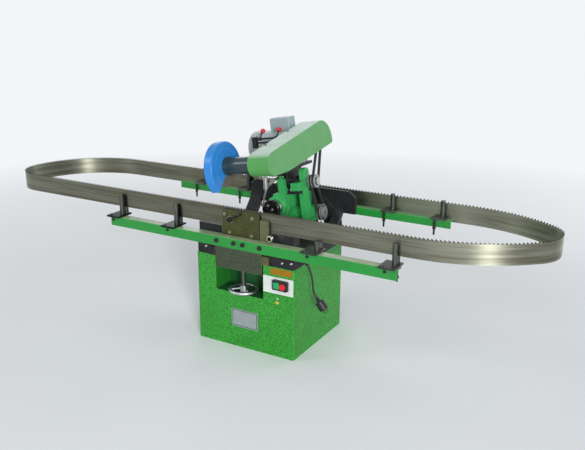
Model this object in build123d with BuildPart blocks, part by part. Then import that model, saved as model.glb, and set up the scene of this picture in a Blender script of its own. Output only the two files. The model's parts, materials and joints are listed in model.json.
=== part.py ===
# Saw blade sharpener: a floor machine that grinds the teeth of a band saw blade.
# Millimetres, Z up. X runs along the blade, the operator stands at -Y, and the
# origin lies on the floor under the middle of the cabinet.
import os
from math import cos, pi, radians, sin, sqrt, tan

from build123d import *

os.makedirs("parts", exist_ok=True)

# Clearances shared by all pieces
turn_fit = 0.05
way_gap = 0.6
side_gap = 1.0

# Cabinet and bed
cabinet_w = 560.0
cabinet_d = 510.0
cabinet_h = 464.0
sheet = 4.0
cable_hole = 60.0
bed_t = 48.0
bed_setback = 5.0
recess_w = 276.0
recess_bottom = 287.0
recess_d = 122.0

# Knee slide, its ways and the handwheel
slide_x = -28.0
slide_w = 270.0
slide_flange = 14.0
slide_proud = 12.0
slide_t = 58.0
slide_drop = 53.0
slide_rise = 53.0
keeper_w = 34.0
screw_shift = 8.0
screw_back = 34.0
screw_r = 10.0
screw_len = 200.0
screw_tail_r = 8.0
bearing_r = 30.0
bearing_t = 6.4
rim_r = 67.0
rim_tube = 8.0
rim_drop = 107.0

# Front rails, blade and vise
rail_leg = 50.0
rail_t = 5.0
rail_left = 810.0
rail_right = 815.0
rail_seam = 3.0
seam_x = -23.5
blade_w = 100.0
blade_t = 1.2
blade_lift = 45.0
tooth_pitch = 18.0
tooth_depth = 7.0
vise_w = 212.0
vise_x = -36.0
vise_h = 129.0
jaw_t = 12.0
jaw_gap = 3.5
beam_w = 549.0
beam_h = 43.0
beam_d = 59.0
support_x = [-805.0, -440.0, 368.0, 748.0]
support_post = [108.0, 108.0, 44.0, 98.0]
support_w = 80.0
support_reach = 21.0
support_t = 8.0
post_r = 12.0
post_gap = 3.4
post_shift = 16.0

# Rear bracket and rails
rear_w = 644.0
rear_gap = 57.0
rear_t = 18.0
rear_rise = 91.0
rear_h = 119.0
rear_leg = 40.0
rear_leg_t = 4.0
rear_reach = 830.0
rear_x = [-690.0, -386.0, 500.0, 768.0]
rear_post = 75.0
rear_blade_gap = 91.0

# Head frame: tilted to the hook angle of the teeth, origin on the spindle line
hook = 9.0
head_x = -131.4
head_shift = 27.5
head_rise = 390.8
housing_r = 42.0
housing_len = 152.0
flange_r = 46.0
spindle_r = 15.0
grind_r = 101.0
grind_t = 14.0
collar_t = 6.0
guard_r = 124.0
guard_w = 47.0
guard_t = 3.0
guard_y = -6.0
guard_z = -2.0
skirt_turn = 156.5
skirt_tip = (-96.0, -110.0)
cover_w = 115.0
cover_t = 2.5
nose_r = 57.0
cover_rise = 9.27
motor_y = 475.0
motor_z = 20.0
motor_r = 89.0
motor_left = -138.0
motor_foot = 8.0
motor_shaft_r = 12.0
pivot_y = 388.0
pivot_z = -160.0
pivot_r = 12.0
hub_r = 32.0

# Pulleys and belts, with stations along the spindle
belt_w = 12.0
belt_t = 8.0
belt_fit = 0.3
spindle_belt_x = 192.0
drive_belt_x = 253.0
lower_belt_x = 236.0
spindle_pulley_r = 27.0
motor_pulley_r = 22.0
counter_r = 33.0
gear_pulley_r = 42.0
gear_y = 448.0
gear_z = -339.0
gear_shaft_r = 11.0
worm_r = 44.0

# Feed gearbox, with its camshaft along Y
cam_x = 48.0
cam_z = -276.0
cam_r = 14.0
barrel_r = 57.0
barrel_front = 300.0
barrel_back = 470.0
ring_y = [339.0, 447.0]
ring_t = 10.0
shelf_z = -205.0
box_floor = -372.0
box_left = -8.0
box_right = 220.0
ear_r = 26.0
ear_left = 36.0
ear_left_t = 32.0
ear_right = 176.0
ear_right_t = 31.0
crank_r = 50.0
crank_y = 245.0
crank_t = 16.0
crank_bolts = [(-37.0, 23.0), (-8.0, 23.0), (14.0, 1.5)]
collar_r = 45.0
rod_x = 125.0
rod_y = 330.0
rod_r = 4.5
lever_pin_x = 188.0
lever_pin_r = 6.0
lever_z = -205.0
lever_h = 16.0
feed_y = 233.0
feed_low = (16.0, -245.0)
feed_bend = (46.0, -172.0)
feed_pin = (48.2, -152.0)
feed_top = (54.0, -100.0)
feed_pin_r = 5.0
sleeve_r = 11.0
rock_x = 90.0
rock_z = -122.0
rock_r = 9.0

# Ball handles
handle_y = 340.0
handle_z = 82.0
handle_rod_r = 5.0
handle_x = [-18.0, 83.0]
ball_r = 13.0

# Switch and cord
switch_inset = 69.0
switch_drop = 84.0
switch_w = 82.0
switch_h = 50.0
switch_t = 16.0
well_depth = 11.0
button_pitch = 33.5
button_travel = 3.0
start_w = 30.0
start_h = 33.0
stop_r = 16.0
cord_r = 4.5
cord_y = -160.0
gland_rise = 26.0
plug_r = 23.0
plug_len = 46.0
plug_neck = 24.0

# Values that follow from the sizes above
cabinet_front = -cabinet_d / 2
bed_front = cabinet_front + bed_setback
bed_top = cabinet_h + bed_t
slide_front = bed_front - slide_proud
slide_back = slide_front + slide_t
slide_bottom = cabinet_h - slide_drop
slide_top = bed_top + slide_rise
slide_half = slide_w / 2
flange_half = slide_half + slide_flange
screw_x = slide_x + screw_shift
screw_y = slide_front + screw_back
rim_z = slide_bottom - rim_drop
rail_top = slide_top + rail_t
rail_front = slide_front - rail_t
rail_z = rail_top - rail_leg
blade_z = rail_top + blade_lift
blade_y = slide_front + rail_leg - 0.5
jaw_back = blade_y - jaw_gap
jaw_front = jaw_back - jaw_t
rear_jaw = blade_y + jaw_gap
post_y = blade_y - blade_t / 2 - post_gap - post_r
back_post_y = blade_y + blade_t / 2 + post_gap + post_r
support_top = rail_top + support_t
rear_y = cabinet_d / 2 + rear_gap
rear_z = bed_top + rear_rise
rear_back = rear_y + rear_t
rear_blade_y = rear_y + rear_blade_gap
rear_rail_z = rear_z - 3
rear_top = rear_rail_z + rear_leg
head_y = blade_y + head_shift
head_z = bed_top + head_rise
switch_x = cabinet_w / 2 - switch_inset
switch_z = cabinet_h - switch_drop
gland_z = cabinet_h + gland_rise
cam_end = barrel_front + 60
arm_left = 100.0
arm_right = 148.0
seat_z = motor_z - motor_r - motor_foot
wheel_left = -guard_w / 2 - grind_t / 2

tilt = radians(hook)
along = Vector(cos(tilt), 0, sin(tilt))
across = Vector(0, 1, 0)
upward = Vector(-sin(tilt), 0, cos(tilt))
head_origin = Vector(head_x, head_y, head_z)
head_frame = Plane(origin=head_origin, x_dir=along, z_dir=upward)


def head_point(x, y, z):
    """World point of a place given in the head frame."""
    return head_origin + along * x + across * y + upward * z


def side_plane(x, y=0.0, z=0.0):
    """Plane in the head frame that looks along the spindle; its axes are y and z."""
    return Plane(origin=head_point(x, y, z), x_dir=across, z_dir=along)


def face_plane(y, x=0.0, z=0.0):
    """Plane in the head frame that looks to the front; its axes are x and z."""
    return Plane(origin=head_point(x, y, z), x_dir=along, z_dir=across * -1)


def lift_plane(z, x=0.0, y=0.0):
    """Plane in the head frame that looks up; its axes are x and y."""
    return Plane(origin=head_point(x, y, z), x_dir=along, z_dir=upward)


def front_plane(y, x=0.0, z=0.0):
    """World plane that looks to the front; its axes are X and Z."""
    return Plane(origin=(x, y, z), x_dir=(1, 0, 0), z_dir=(0, -1, 0))


def end_plane(x, y=0.0, z=0.0):
    """World plane that looks to the right; its axes are Y and Z."""
    return Plane(origin=(x, y, z), x_dir=(0, 1, 0), z_dir=(1, 0, 0))


def level_plane(z, x=0.0, y=0.0):
    """World plane that looks up; its axes are X and Y."""
    return Plane(origin=(x, y, z), x_dir=(1, 0, 0), z_dir=(0, 0, 1))


def block(x0, x1, y0, y1, z0, z1, mode=Mode.ADD):
    """Box between two corners of the frame in use."""
    with Locations(((x0 + x1) / 2, (y0 + y1) / 2, (z0 + z1) / 2)):
        Box(x1 - x0, y1 - y0, z1 - z0, mode=mode)


def rod(plane, radius, length, mode=Mode.ADD):
    """Round bar that starts on a plane."""
    with BuildSketch(plane) as section:
        Circle(radius)
    extrude(section.sketch, amount=length, mode=mode)


def hexagon(plane, flats, height):
    """Hexagon head that starts on a plane."""
    with BuildSketch(plane) as section:
        RegularPolygon(radius=flats / sqrt(3), side_count=6)
    extrude(section.sketch, amount=height)


def slab(plane, points, length, mode=Mode.ADD):
    """Plate with a polygon outline that starts on a plane."""
    with BuildSketch(plane) as section:
        Polygon(*points, align=None)
    extrude(section.sketch, amount=length, mode=mode)


def belt_loop(station, a, ra, b, rb):
    """Belt round two pulleys, its inner face just clear of both."""
    plane = side_plane(station - belt_w / 2)
    for depth, mode in ((0, Mode.ADD), (belt_t, Mode.SUBTRACT)):
        with BuildSketch(plane) as loop:
            with Locations(a):
                Circle(ra - depth)
            with Locations(b):
                Circle(rb - depth)
            make_hull()
        extrude(loop.sketch, amount=belt_w, mode=mode)


def pulley(station, y, z, radius, width):
    """Pulley with a groove that holds a belt."""
    lip = belt_w / 2 + belt_fit
    rod(side_plane(station - width / 2, y, z), radius + 1.5, width)
    with BuildSketch(side_plane(station - lip, y, z)) as groove:
        Circle(radius + 4)
        Circle(radius - belt_t - belt_fit, mode=Mode.SUBTRACT)
    extrude(groove.sketch, amount=2 * lip, mode=Mode.SUBTRACT)


# Cabinet: folded sheet with a recess in front for the handwheel
with BuildPart() as cabinet:
    block(-cabinet_w / 2, cabinet_w / 2, -cabinet_d / 2, cabinet_d / 2, 0, cabinet_h)
    fillet(cabinet.edges().filter_by(Axis.Z), radius=8)
    recess_back = cabinet_front + recess_d
    recess_l = slide_x - recess_w / 2
    recess_r = slide_x + recess_w / 2
    block(recess_l, recess_r, cabinet_front - 1, recess_back,
          recess_bottom, cabinet_h + 1, Mode.SUBTRACT)
    in_x = cabinet_w / 2 - sheet
    in_y = cabinet_d / 2 - sheet
    pan_z = recess_bottom - sheet
    lid_z = cabinet_h - sheet
    block(-in_x, in_x, -in_y, in_y, sheet, pan_z, Mode.SUBTRACT)
    block(-in_x, recess_l - sheet, -in_y, in_y, pan_z, lid_z, Mode.SUBTRACT)
    block(recess_r + sheet, in_x, -in_y, in_y, pan_z, lid_z, Mode.SUBTRACT)
    block(recess_l - sheet, recess_r + sheet, recess_back + sheet, in_y, pan_z, lid_z, Mode.SUBTRACT)
    rod(level_plane(-1, in_x - cable_hole, in_y - cable_hole), cable_hole / 3, sheet + 2, Mode.SUBTRACT)
cabinet.part.label = "cabinet"
export_step(cabinet.part, "parts/cabinet.step")

# Bed: base casting with the slot and the upright that guide the slide
with BuildPart() as bed:
    slot_half = flange_half + way_gap
    slot_back = slide_back + way_gap
    block(-cabinet_w / 2, cabinet_w / 2, bed_front, cabinet_d / 2, cabinet_h, bed_top)
    fillet(bed.edges().filter_by(Axis.Z), radius=10)
    fillet(bed.faces().sort_by(Axis.Z)[-1].edges(), radius=5)
    block(slide_x - slot_half, slide_x + slot_half, slot_back, slot_back + 54, bed_top - 8, slide_top - 6)
    slot_l = slide_x - slot_half
    slot_r = slide_x + slot_half
    block(slot_l, slot_r, bed_front - 1, slot_back, cabinet_h - 1, bed_top + 1, Mode.SUBTRACT)
    rim = 20.0
    core_y = slot_back + 54 + rim
    core_x = cabinet_w / 2 - rim
    block(-core_x, core_x, core_y, cabinet_d / 2 - rim, cabinet_h - 1, bed_top - 14, Mode.SUBTRACT)
    for side in (-1, 1):
        rib_x = slide_x + side * (slot_half - 40)
        rib = [(slot_back + 50, bed_top - 1), (slot_back + 110, bed_top - 1),
               (slot_back + 50, slide_top - 12)]
        slab(end_plane(rib_x - 8), rib, 16)
bed.part.label = "bed"
export_step(bed.part, "parts/bed.step")

# Keepers: strips bolted to the bed that hold the slide's flanges
with BuildPart() as keepers:
    keeper_in = slide_half + side_gap
    for side in (-1, 1):
        x_in = slide_x + side * keeper_in
        x_out = x_in + side * keeper_w
        low = min(x_in, x_out)
        high = max(x_in, x_out)
        block(low, high, slide_front + side_gap, bed_front, cabinet_h + 1, bed_top - 6)
        for level in (cabinet_h + 12, bed_top - 16):
            screw_at = slide_x + side * (flange_half + 12)
            rod(front_plane(slide_front + side_gap + 4, screw_at, level), 5, 3.4)
keepers.part.label = "keepers"
export_step(keepers.part, "parts/keepers.step")

# Screw bearing: flange on the recess floor that carries the lead screw
with BuildPart() as screw_bearing:
    rod(level_plane(recess_bottom, screw_x, screw_y), bearing_r, bearing_t)
    chamfer(screw_bearing.edges().group_by(Axis.Z)[-1], length=1.5)
    tail_z = recess_bottom + 0.5
    rod(level_plane(tail_z, screw_x, screw_y), screw_tail_r + turn_fit, bearing_t, Mode.SUBTRACT)
screw_bearing.part.label = "screw_bearing"
export_step(screw_bearing.part, "parts/screw_bearing.step")

# Name plate, left bare
with BuildPart() as name_plate:
    with BuildSketch(front_plane(cabinet_front, 1.5, 156.5)):
        RectangleRounded(153, 94, 4)
    extrude(amount=1.5)
    for sx in (-1, 1):
        for sz in (-1, 1):
            rod(front_plane(cabinet_front - 1.5, 1.5 + sx * 71, 156.5 + sz * 41.5), 2.2, 1)
name_plate.part.label = "name_plate"
export_step(name_plate.part, "parts/name_plate.step")

# Switch plate and switch box with wells for the two buttons
with BuildPart() as switch_plate:
    plate_l = recess_r + 2
    plate_r = cabinet_w / 2 - 3
    with BuildSketch(front_plane(cabinet_front, (plate_l + plate_r) / 2, switch_z - 6.5)):
        RectangleRounded(plate_r - plate_l, 84, 3)
    extrude(amount=2)
switch_plate.part.label = "switch_plate"
export_step(switch_plate.part, "parts/switch_plate.step")

start_x = switch_x - button_pitch / 2
stop_x = switch_x + button_pitch / 2
box_back = cabinet_front - 2
box_front = box_back - switch_t
well_back = box_front + well_depth
button_back = well_back - button_travel - 0.5
with BuildPart() as switch_box:
    with BuildSketch(front_plane(box_back, switch_x, switch_z)):
        RectangleRounded(switch_w, switch_h, 5)
    extrude(amount=switch_t)
    fillet(switch_box.faces().sort_by(Axis.Y)[0].edges(), radius=2.5)
    with BuildSketch(front_plane(well_back, start_x, switch_z)):
        RectangleRounded(start_w + way_gap, start_h + way_gap, 6)
    extrude(amount=well_depth + 1, mode=Mode.SUBTRACT)
    rod(front_plane(well_back, stop_x, switch_z), stop_r + way_gap / 2, well_depth + 1, Mode.SUBTRACT)
switch_box.part.label = "switch_box"
export_step(switch_box.part, "parts/switch_box.step")

# Start button: flat and nearly flush. Stop button: round and proud
with BuildPart() as start_button:
    with BuildSketch(front_plane(button_back, start_x, switch_z)):
        RectangleRounded(start_w, start_h, 6)
    extrude(amount=button_back - box_front + button_travel + 1)
    fillet(start_button.faces().sort_by(Axis.Y)[0].edges(), radius=1.5)
start_button.part.label = "start_button"
export_step(start_button.part, "parts/start_button.step")

with BuildPart() as stop_button:
    rod(front_plane(button_back, stop_x, switch_z), stop_r, button_back - box_front + 9)
    fillet(stop_button.faces().sort_by(Axis.Y)[0].edges(), radius=3)
stop_button.part.label = "stop_button"
export_step(stop_button.part, "parts/stop_button.step")

# Knee slide: carries the rails, the vise and the blade
with BuildPart() as slide:
    block(slide_x - slide_half, slide_x + slide_half, slide_front, slide_back, slide_bottom, slide_top)
    fillet(slide.edges().filter_by(Axis.Z), radius=3)
    flange_l = slide_x - flange_half
    flange_r_x = slide_x + flange_half
    block(flange_l, flange_r_x, bed_front + way_gap, slide_back, cabinet_h + 2, slide_top)
    screw_well = screw_len - rim_drop - 8
    rod(level_plane(slide_bottom - 1, screw_x, screw_y), screw_r + turn_fit, screw_well + 1, Mode.SUBTRACT)
slide.part.label = "slide"
export_step(slide.part, "parts/slide.step")

# Lead screw and handwheel
with BuildPart() as lead_screw:
    rod(level_plane(rim_z - 10, screw_x, screw_y), screw_r, screw_len)
    tail_start = recess_bottom + 1
    rod(level_plane(tail_start, screw_x, screw_y), screw_tail_r, rim_z - 10 - tail_start)
lead_screw.part.label = "lead_screw"
export_step(lead_screw.part, "parts/lead_screw.step")

with BuildPart() as handwheel:
    with BuildSketch(Plane(origin=(screw_x, screw_y, rim_z), x_dir=(1, 0, 0), z_dir=(0, -1, 0))):
        with Locations((rim_r, 0)):
            Circle(rim_tube)
    revolve(axis=Axis((screw_x, screw_y, rim_z), (0, 0, 1)))
    rod(level_plane(rim_z - 10, screw_x, screw_y), 19, 32)
    for i in range(3):
        turn = radians(90 + 120 * i)
        reach = rim_r - 4
        start = Vector(screw_x + 12 * cos(turn), screw_y + 12 * sin(turn), rim_z + 8)
        ending = Vector(screw_x + reach * cos(turn), screw_y + reach * sin(turn), rim_z)
        way = ending - start
        spoke = Plane(origin=start, x_dir=(-sin(turn), cos(turn), 0), z_dir=way)
        with BuildSketch(spoke):
            Ellipse(7, 4.5)
        extrude(amount=way.length)
    rod(level_plane(rim_z - 11, screw_x, screw_y), screw_r, 40, Mode.SUBTRACT)
handwheel.part.label = "handwheel"
export_step(handwheel.part, "parts/handwheel.step")


def angle_rail(x, length, y, z, leg, t):
    """Angle bar: one leg hangs in front, the other points back along its top."""
    outline = [(y, z), (y + t, z), (y + t, z + leg - t), (y + leg, z + leg - t), (y + leg, z + leg),
               (y, z + leg)]
    with BuildSketch(end_plane(x)) as section:
        Polygon(*outline, align=None)
        fillet(section.vertices().group_by(Axis.X)[0].sort_by(Axis.Y)[-1], radius=t - 1)
    extrude(section.sketch, amount=length)


# Front rails
with BuildPart() as front_rail_left:
    angle_rail(seam_x - rail_seam / 2 - rail_left, rail_left, rail_front, rail_z, rail_leg, rail_t)
front_rail_left.part.label = "front_rail_left"
export_step(front_rail_left.part, "parts/front_rail_left.step")

with BuildPart() as front_rail_right:
    angle_rail(seam_x + rail_seam / 2, rail_right, rail_front, rail_z, rail_leg, rail_t)
front_rail_right.part.label = "front_rail_right"
export_step(front_rail_right.part, "parts/front_rail_right.step")

# Vise body: beam behind the rails with the rest and the rear jaw of the blade
with BuildPart() as vise_body:
    beam_mid = slide_x + 5.5
    vise_l = vise_x - vise_w / 2
    vise_r = vise_x + vise_w / 2
    vise_top = rail_top + vise_h
    beam_l = beam_mid - beam_w / 2
    block(beam_l, beam_l + beam_w, rear_jaw, rear_jaw + beam_d, slide_top, slide_top + beam_h)
    fillet(vise_body.edges().filter_by(Axis.Z), radius=6)
    block(vise_l, vise_r, jaw_back, rear_jaw + 1, slide_top, blade_z)
    block(vise_l, vise_r, rear_jaw, rear_jaw + 19, slide_top, vise_top)
    for side in (-1, 0, 1):
        rib_x = vise_x + side * (vise_w / 2 - 20)
        rib = [(rear_jaw + 18, slide_top + beam_h - 1), (rear_jaw + beam_d - 4, slide_top + beam_h - 1),
               (rear_jaw + 18, vise_top - 14)]
        slab(end_plane(rib_x - 6), rib, 12)
    knob_x = vise_x + 175
    knob_z = slide_top + 29
    rod(front_plane(rear_jaw + 26, knob_x, knob_z), 6 + turn_fit, 27, Mode.SUBTRACT)
vise_body.part.label = "vise_body"
export_step(vise_body.part, "parts/vise_body.step")

# Vise front plate with the boss of the clamping lever
with BuildPart() as vise_plate:
    boss_x = vise_x - 52
    boss_z = rail_top + 84
    block(vise_l, vise_r, jaw_front, jaw_back, rail_top, vise_top)
    fillet(vise_plate.edges().filter_by(Axis.Y), radius=7)
    rod(front_plane(jaw_front + 1, boss_x, boss_z), 18, 7)
    rod(front_plane(jaw_back + 1, boss_x, boss_z), 8 + turn_fit, jaw_t + 9, Mode.SUBTRACT)
    for bolt_x, bolt_z in ((-87, 108), (72, 106), (-59, 18), (68, 18)):
        hexagon(front_plane(jaw_front + 0.5, vise_x + bolt_x, rail_top + bolt_z), 16, 6.5)
vise_plate.part.label = "vise_plate"
export_step(vise_plate.part, "parts/vise_plate.step")

# Vise lever: stud through the plate, hub, handle and its end ball
with BuildPart() as vise_lever:
    hub_y = jaw_front - 6 - way_gap / 2
    rod(front_plane(jaw_back - 0.5, boss_x, boss_z), 8, jaw_back - 0.5 - hub_y + 4)
    rod(front_plane(hub_y, boss_x, boss_z), 14, 13)
    arm_dir = Vector(cos(radians(31)), 0, sin(radians(31)))
    arm_start = Vector(boss_x, hub_y - 6.5, boss_z) + arm_dir * 8
    rod(Plane(origin=arm_start, x_dir=(0, 1, 0), z_dir=arm_dir), 5, 54)
    with Locations(arm_start + arm_dir * 54):
        Sphere(8)
vise_lever.part.label = "vise_lever"
export_step(vise_lever.part, "parts/vise_lever.step")

# Vise side block and the knob that sets it
with BuildPart() as vise_block:
    block(vise_r + 6, vise_r + 52, jaw_front, jaw_back, rail_top, rail_top + 103)
    chamfer(vise_block.edges().filter_by(Axis.Y), length=4)
vise_block.part.label = "vise_block"
export_step(vise_block.part, "parts/vise_block.step")

with BuildPart() as vise_knob:
    knob_back = rear_jaw + 25
    rod(front_plane(knob_back, knob_x, knob_z), 6, knob_back - jaw_front + 4)
    rod(front_plane(jaw_front - 2, knob_x, knob_z), 16, 16)
    fillet(vise_knob.faces().sort_by(Axis.Y)[0].edges(), radius=3)
    flutes = PolarLocations(17.5, 8)
    with BuildSketch(front_plane(jaw_front + 3, knob_x, knob_z)):
        with flutes:
            Circle(3)
    extrude(amount=25, mode=Mode.SUBTRACT)
vise_knob.part.label = "vise_knob"
export_step(vise_knob.part, "parts/vise_knob.step")

# Bolts that hold the rails to the slide
with BuildPart() as slide_bolts:
    for bolt_x in (-121, -21, 31, 127):
        rod(front_plane(rail_front, slide_x + bolt_x, rail_z + 28), 12, 1.5)
        hexagon(front_plane(rail_front - 1.5, slide_x + bolt_x, rail_z + 28), 18, 8)
slide_bolts.part.label = "slide_bolts"
export_step(slide_bolts.part, "parts/slide_bolts.step")

# Front blade supports: plates on the rails, posts on both sides of the blade
with BuildPart() as front_supports:
    plate_front = rail_front - support_reach
    plate_back = back_post_y + post_r + 2
    for x, height in zip(support_x, support_post):
        block(x - support_w / 2, x + support_w / 2, plate_front, plate_back, rail_top, support_top)
        post_x = x + post_shift
        rod(level_plane(support_top, post_x, post_y), post_r, height)
        rod(level_plane(support_top, post_x, back_post_y), post_r, min(height, 60))
        block(post_x - 9, post_x + 9, blade_y - 5, blade_y + 5, support_top, blade_z)
        rod(level_plane(support_top, x - 24, plate_front + 16), 7, 6)
front_supports.part.label = "front_supports"
export_step(front_supports.part, "parts/front_supports.step")

# Clamp screws of the front supports
with BuildPart() as front_clamps:
    for x in support_x:
        hexagon(front_plane(rail_front, x - 12, rail_z + 33), 13, 6)
    stud_x = support_x[-1] + 34
    stud_y = slide_front + 22
    rod(level_plane(rail_z - 12, stud_x, stud_y), 5, slide_top - rail_z + 12)
    hexagon(level_plane(rail_z + 4, stud_x, stud_y), 16, 9)
front_clamps.part.label = "front_clamps"
export_step(front_clamps.part, "parts/front_clamps.step")

# Saw blade: welded loop, each corner given by its place and bend radius
blade_front = blade_y
loop_corners = [
    (-1652.0, blade_front, 184.0),
    (-1652.0, rear_blade_y, 428.0),
    (1128.0, rear_blade_y, 690.0),
    (1385.0, 215.0, 155.0),
    (1385.0, 50.0, 172.0),
    (1098.0, blade_front, 700.0),
]


def tooth_plane(distance):
    """Upright plane on the blade's tooth line at a distance along the loop."""
    spot = loop_wire.position_at(distance / loop_length)
    course = loop_wire.tangent_at(distance / loop_length)
    seat = (spot.X, spot.Y, blade_z + blade_w)
    return Plane(origin=seat, x_dir=(course.X, course.Y, 0), z_dir=(course.Y, -course.X, 0))


def gullet(x):
    """Outline of one gullet: hooked face, flat root and long back."""
    root = -tooth_depth
    return [(x - 0.2, 1), (x - 1, root + 1), (x + 5, root), (x + step - 1.5, 1)]


with BuildPart() as saw_blade:
    loop_points = [(x, y) for x, y, r in loop_corners]
    loop_radii = [r for x, y, r in loop_corners]
    for grow, mode in ((blade_t / 2, Mode.ADD), (-blade_t / 2, Mode.SUBTRACT)):
        with BuildSketch(level_plane(blade_z)):
            with BuildLine() as loop_line:
                FilletPolyline(*loop_points, radius=loop_radii, close=True)
            make_face()
            offset(amount=grow)
        extrude(amount=blade_w, mode=mode)
    loop_wire = loop_line.wires()[0]
    loop_length = loop_wire.length
    tooth_count = round(loop_length / tooth_pitch)
    step = loop_length / tooth_count
    bent_teeth = set(range(tooth_count))
    combs = []
    edge_start = 0.0
    for edge in loop_wire.edges():
        edge_end = edge_start + edge.length
        if edge.geom_type == GeomType.LINE and edge.length > 10 * step:
            first = int((edge_start + 2) / step) + 1
            last = int((edge_end - 2) / step)
            combs.append(list(range(first, last)))
            bent_teeth -= set(combs[-1])
        edge_start = edge_end
    for teeth in combs:
        teeth_outline = [(-0.2, 3)]
        for k in range(len(teeth)):
            teeth_outline += gullet(k * step)
        teeth_outline.append((len(teeth) * step - 1.5, 3))
        with BuildSketch(tooth_plane(teeth[0] * step)):
            Polygon(*teeth_outline, align=None)
        extrude(amount=blade_t * 2, both=True, mode=Mode.SUBTRACT, clean=False)
    with BuildSketch(*[tooth_plane(i * step) for i in sorted(bent_teeth)]):
        Polygon(*gullet(0), align=None)
    extrude(amount=blade_t * 2, both=True, mode=Mode.SUBTRACT, clean=False)
saw_blade.part.label = "saw_blade"
export_step(saw_blade.part, "parts/saw_blade.step")
print("blade loop", round(loop_length), "teeth", tooth_count)

# Rear bracket: beam on two legs behind the bed
with BuildPart() as rear_bracket:
    outline = [(-rear_w / 2, rear_z), (rear_w / 2, rear_z), (rear_w / 2, rear_z + rear_h - 30),
               (rear_w / 2 - 40, rear_z + rear_h), (-rear_w / 2 + 40, rear_z + rear_h),
               (-rear_w / 2, rear_z + rear_h - 30)]
    slab(front_plane(rear_back), outline, rear_t)
    leg_front = cabinet_d / 2 - 65
    leg = [(leg_front, bed_top), (cabinet_d / 2, bed_top), (rear_back, rear_z), (rear_back, rear_z + 96),
           (rear_y, rear_z + 96), (rear_y, rear_z + 22), (cabinet_d / 2 - 20, bed_top + 22),
           (leg_front, bed_top + 22)]
    for leg_x, leg_w in ((-rear_w / 2, 68), (204, 46)):
        slab(end_plane(leg_x), leg, leg_w)
    gusset = [(114, rear_z + 94), (240, rear_z - 10), (249, rear_z - 50), (249, rear_z - 73),
              (150, rear_z - 73), (114, rear_z - 13)]
    slab(front_plane(rear_y), gusset, 4)
rear_bracket.part.label = "rear_bracket"
export_step(rear_bracket.part, "parts/rear_bracket.step")

# Rear rails, supports and clamp studs
with BuildPart() as rear_rail_left:
    angle_rail(-rear_reach, rear_reach - rail_seam / 2, rear_back, rear_rail_z, rear_leg, rear_leg_t)
rear_rail_left.part.label = "rear_rail_left"
export_step(rear_rail_left.part, "parts/rear_rail_left.step")

with BuildPart() as rear_rail_right:
    angle_rail(rail_seam / 2, rear_reach - rail_seam / 2, rear_back, rear_rail_z, rear_leg, rear_leg_t)
rear_rail_right.part.label = "rear_rail_right"
export_step(rear_rail_right.part, "parts/rear_rail_right.step")

with BuildPart() as rear_supports:
    rear_post_y = rear_blade_y - blade_t / 2 - post_gap - post_r
    plate_end = rear_post_y + 9
    rest_z = blade_z - 10
    for x in rear_x:
        block(x - 36, x + 36, rear_y + 2, plate_end, rear_top, rear_top + support_t)
        rod(level_plane(rear_top + support_t, x, rear_post_y), post_r, rear_post)
        block(x - 16, x + 16, plate_end - 8, plate_end, rest_z, rear_top + 1)
        block(x - 16, x + 16, plate_end - 8, rear_blade_y + 30, rest_z, blade_z - 0.5)
        rod(level_plane(blade_z - 1, x, rear_blade_y + blade_t / 2 + post_gap + 10), 10, 70)
rear_supports.part.label = "rear_supports"
export_step(rear_supports.part, "parts/rear_supports.step")

with BuildPart() as rear_clamps:
    for x in rear_x:
        rod(level_plane(rear_top - 78, x - 18, rear_y + 8), 5, 78)
        hexagon(level_plane(rear_top - 48, x - 18, rear_y + 8), 16, 10)
rear_clamps.part.label = "rear_clamps"
export_step(rear_clamps.part, "parts/rear_clamps.step")

# Swivel base: wedge between the level bed and the tilted gearbox
with BuildPart() as swivel_base:
    swivel_l = head_x + 55.4
    swivel_r = head_x + 269.4
    swivel_mid = (swivel_l + swivel_r) / 2
    swivel_front = head_y + 307
    swivel_back = head_y + 440
    block(swivel_l, swivel_r, swivel_front, swivel_back, bed_top, bed_top + 90)
    split(bisect_by=lift_plane(box_floor), keep=Keep.BOTTOM)
    block(swivel_mid - 14, swivel_mid + 14, swivel_front - 12, swivel_front + 1, bed_top, bed_top + 14)
swivel_base.part.label = "swivel_base"
export_step(swivel_base.part, "parts/swivel_base.step")

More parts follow.
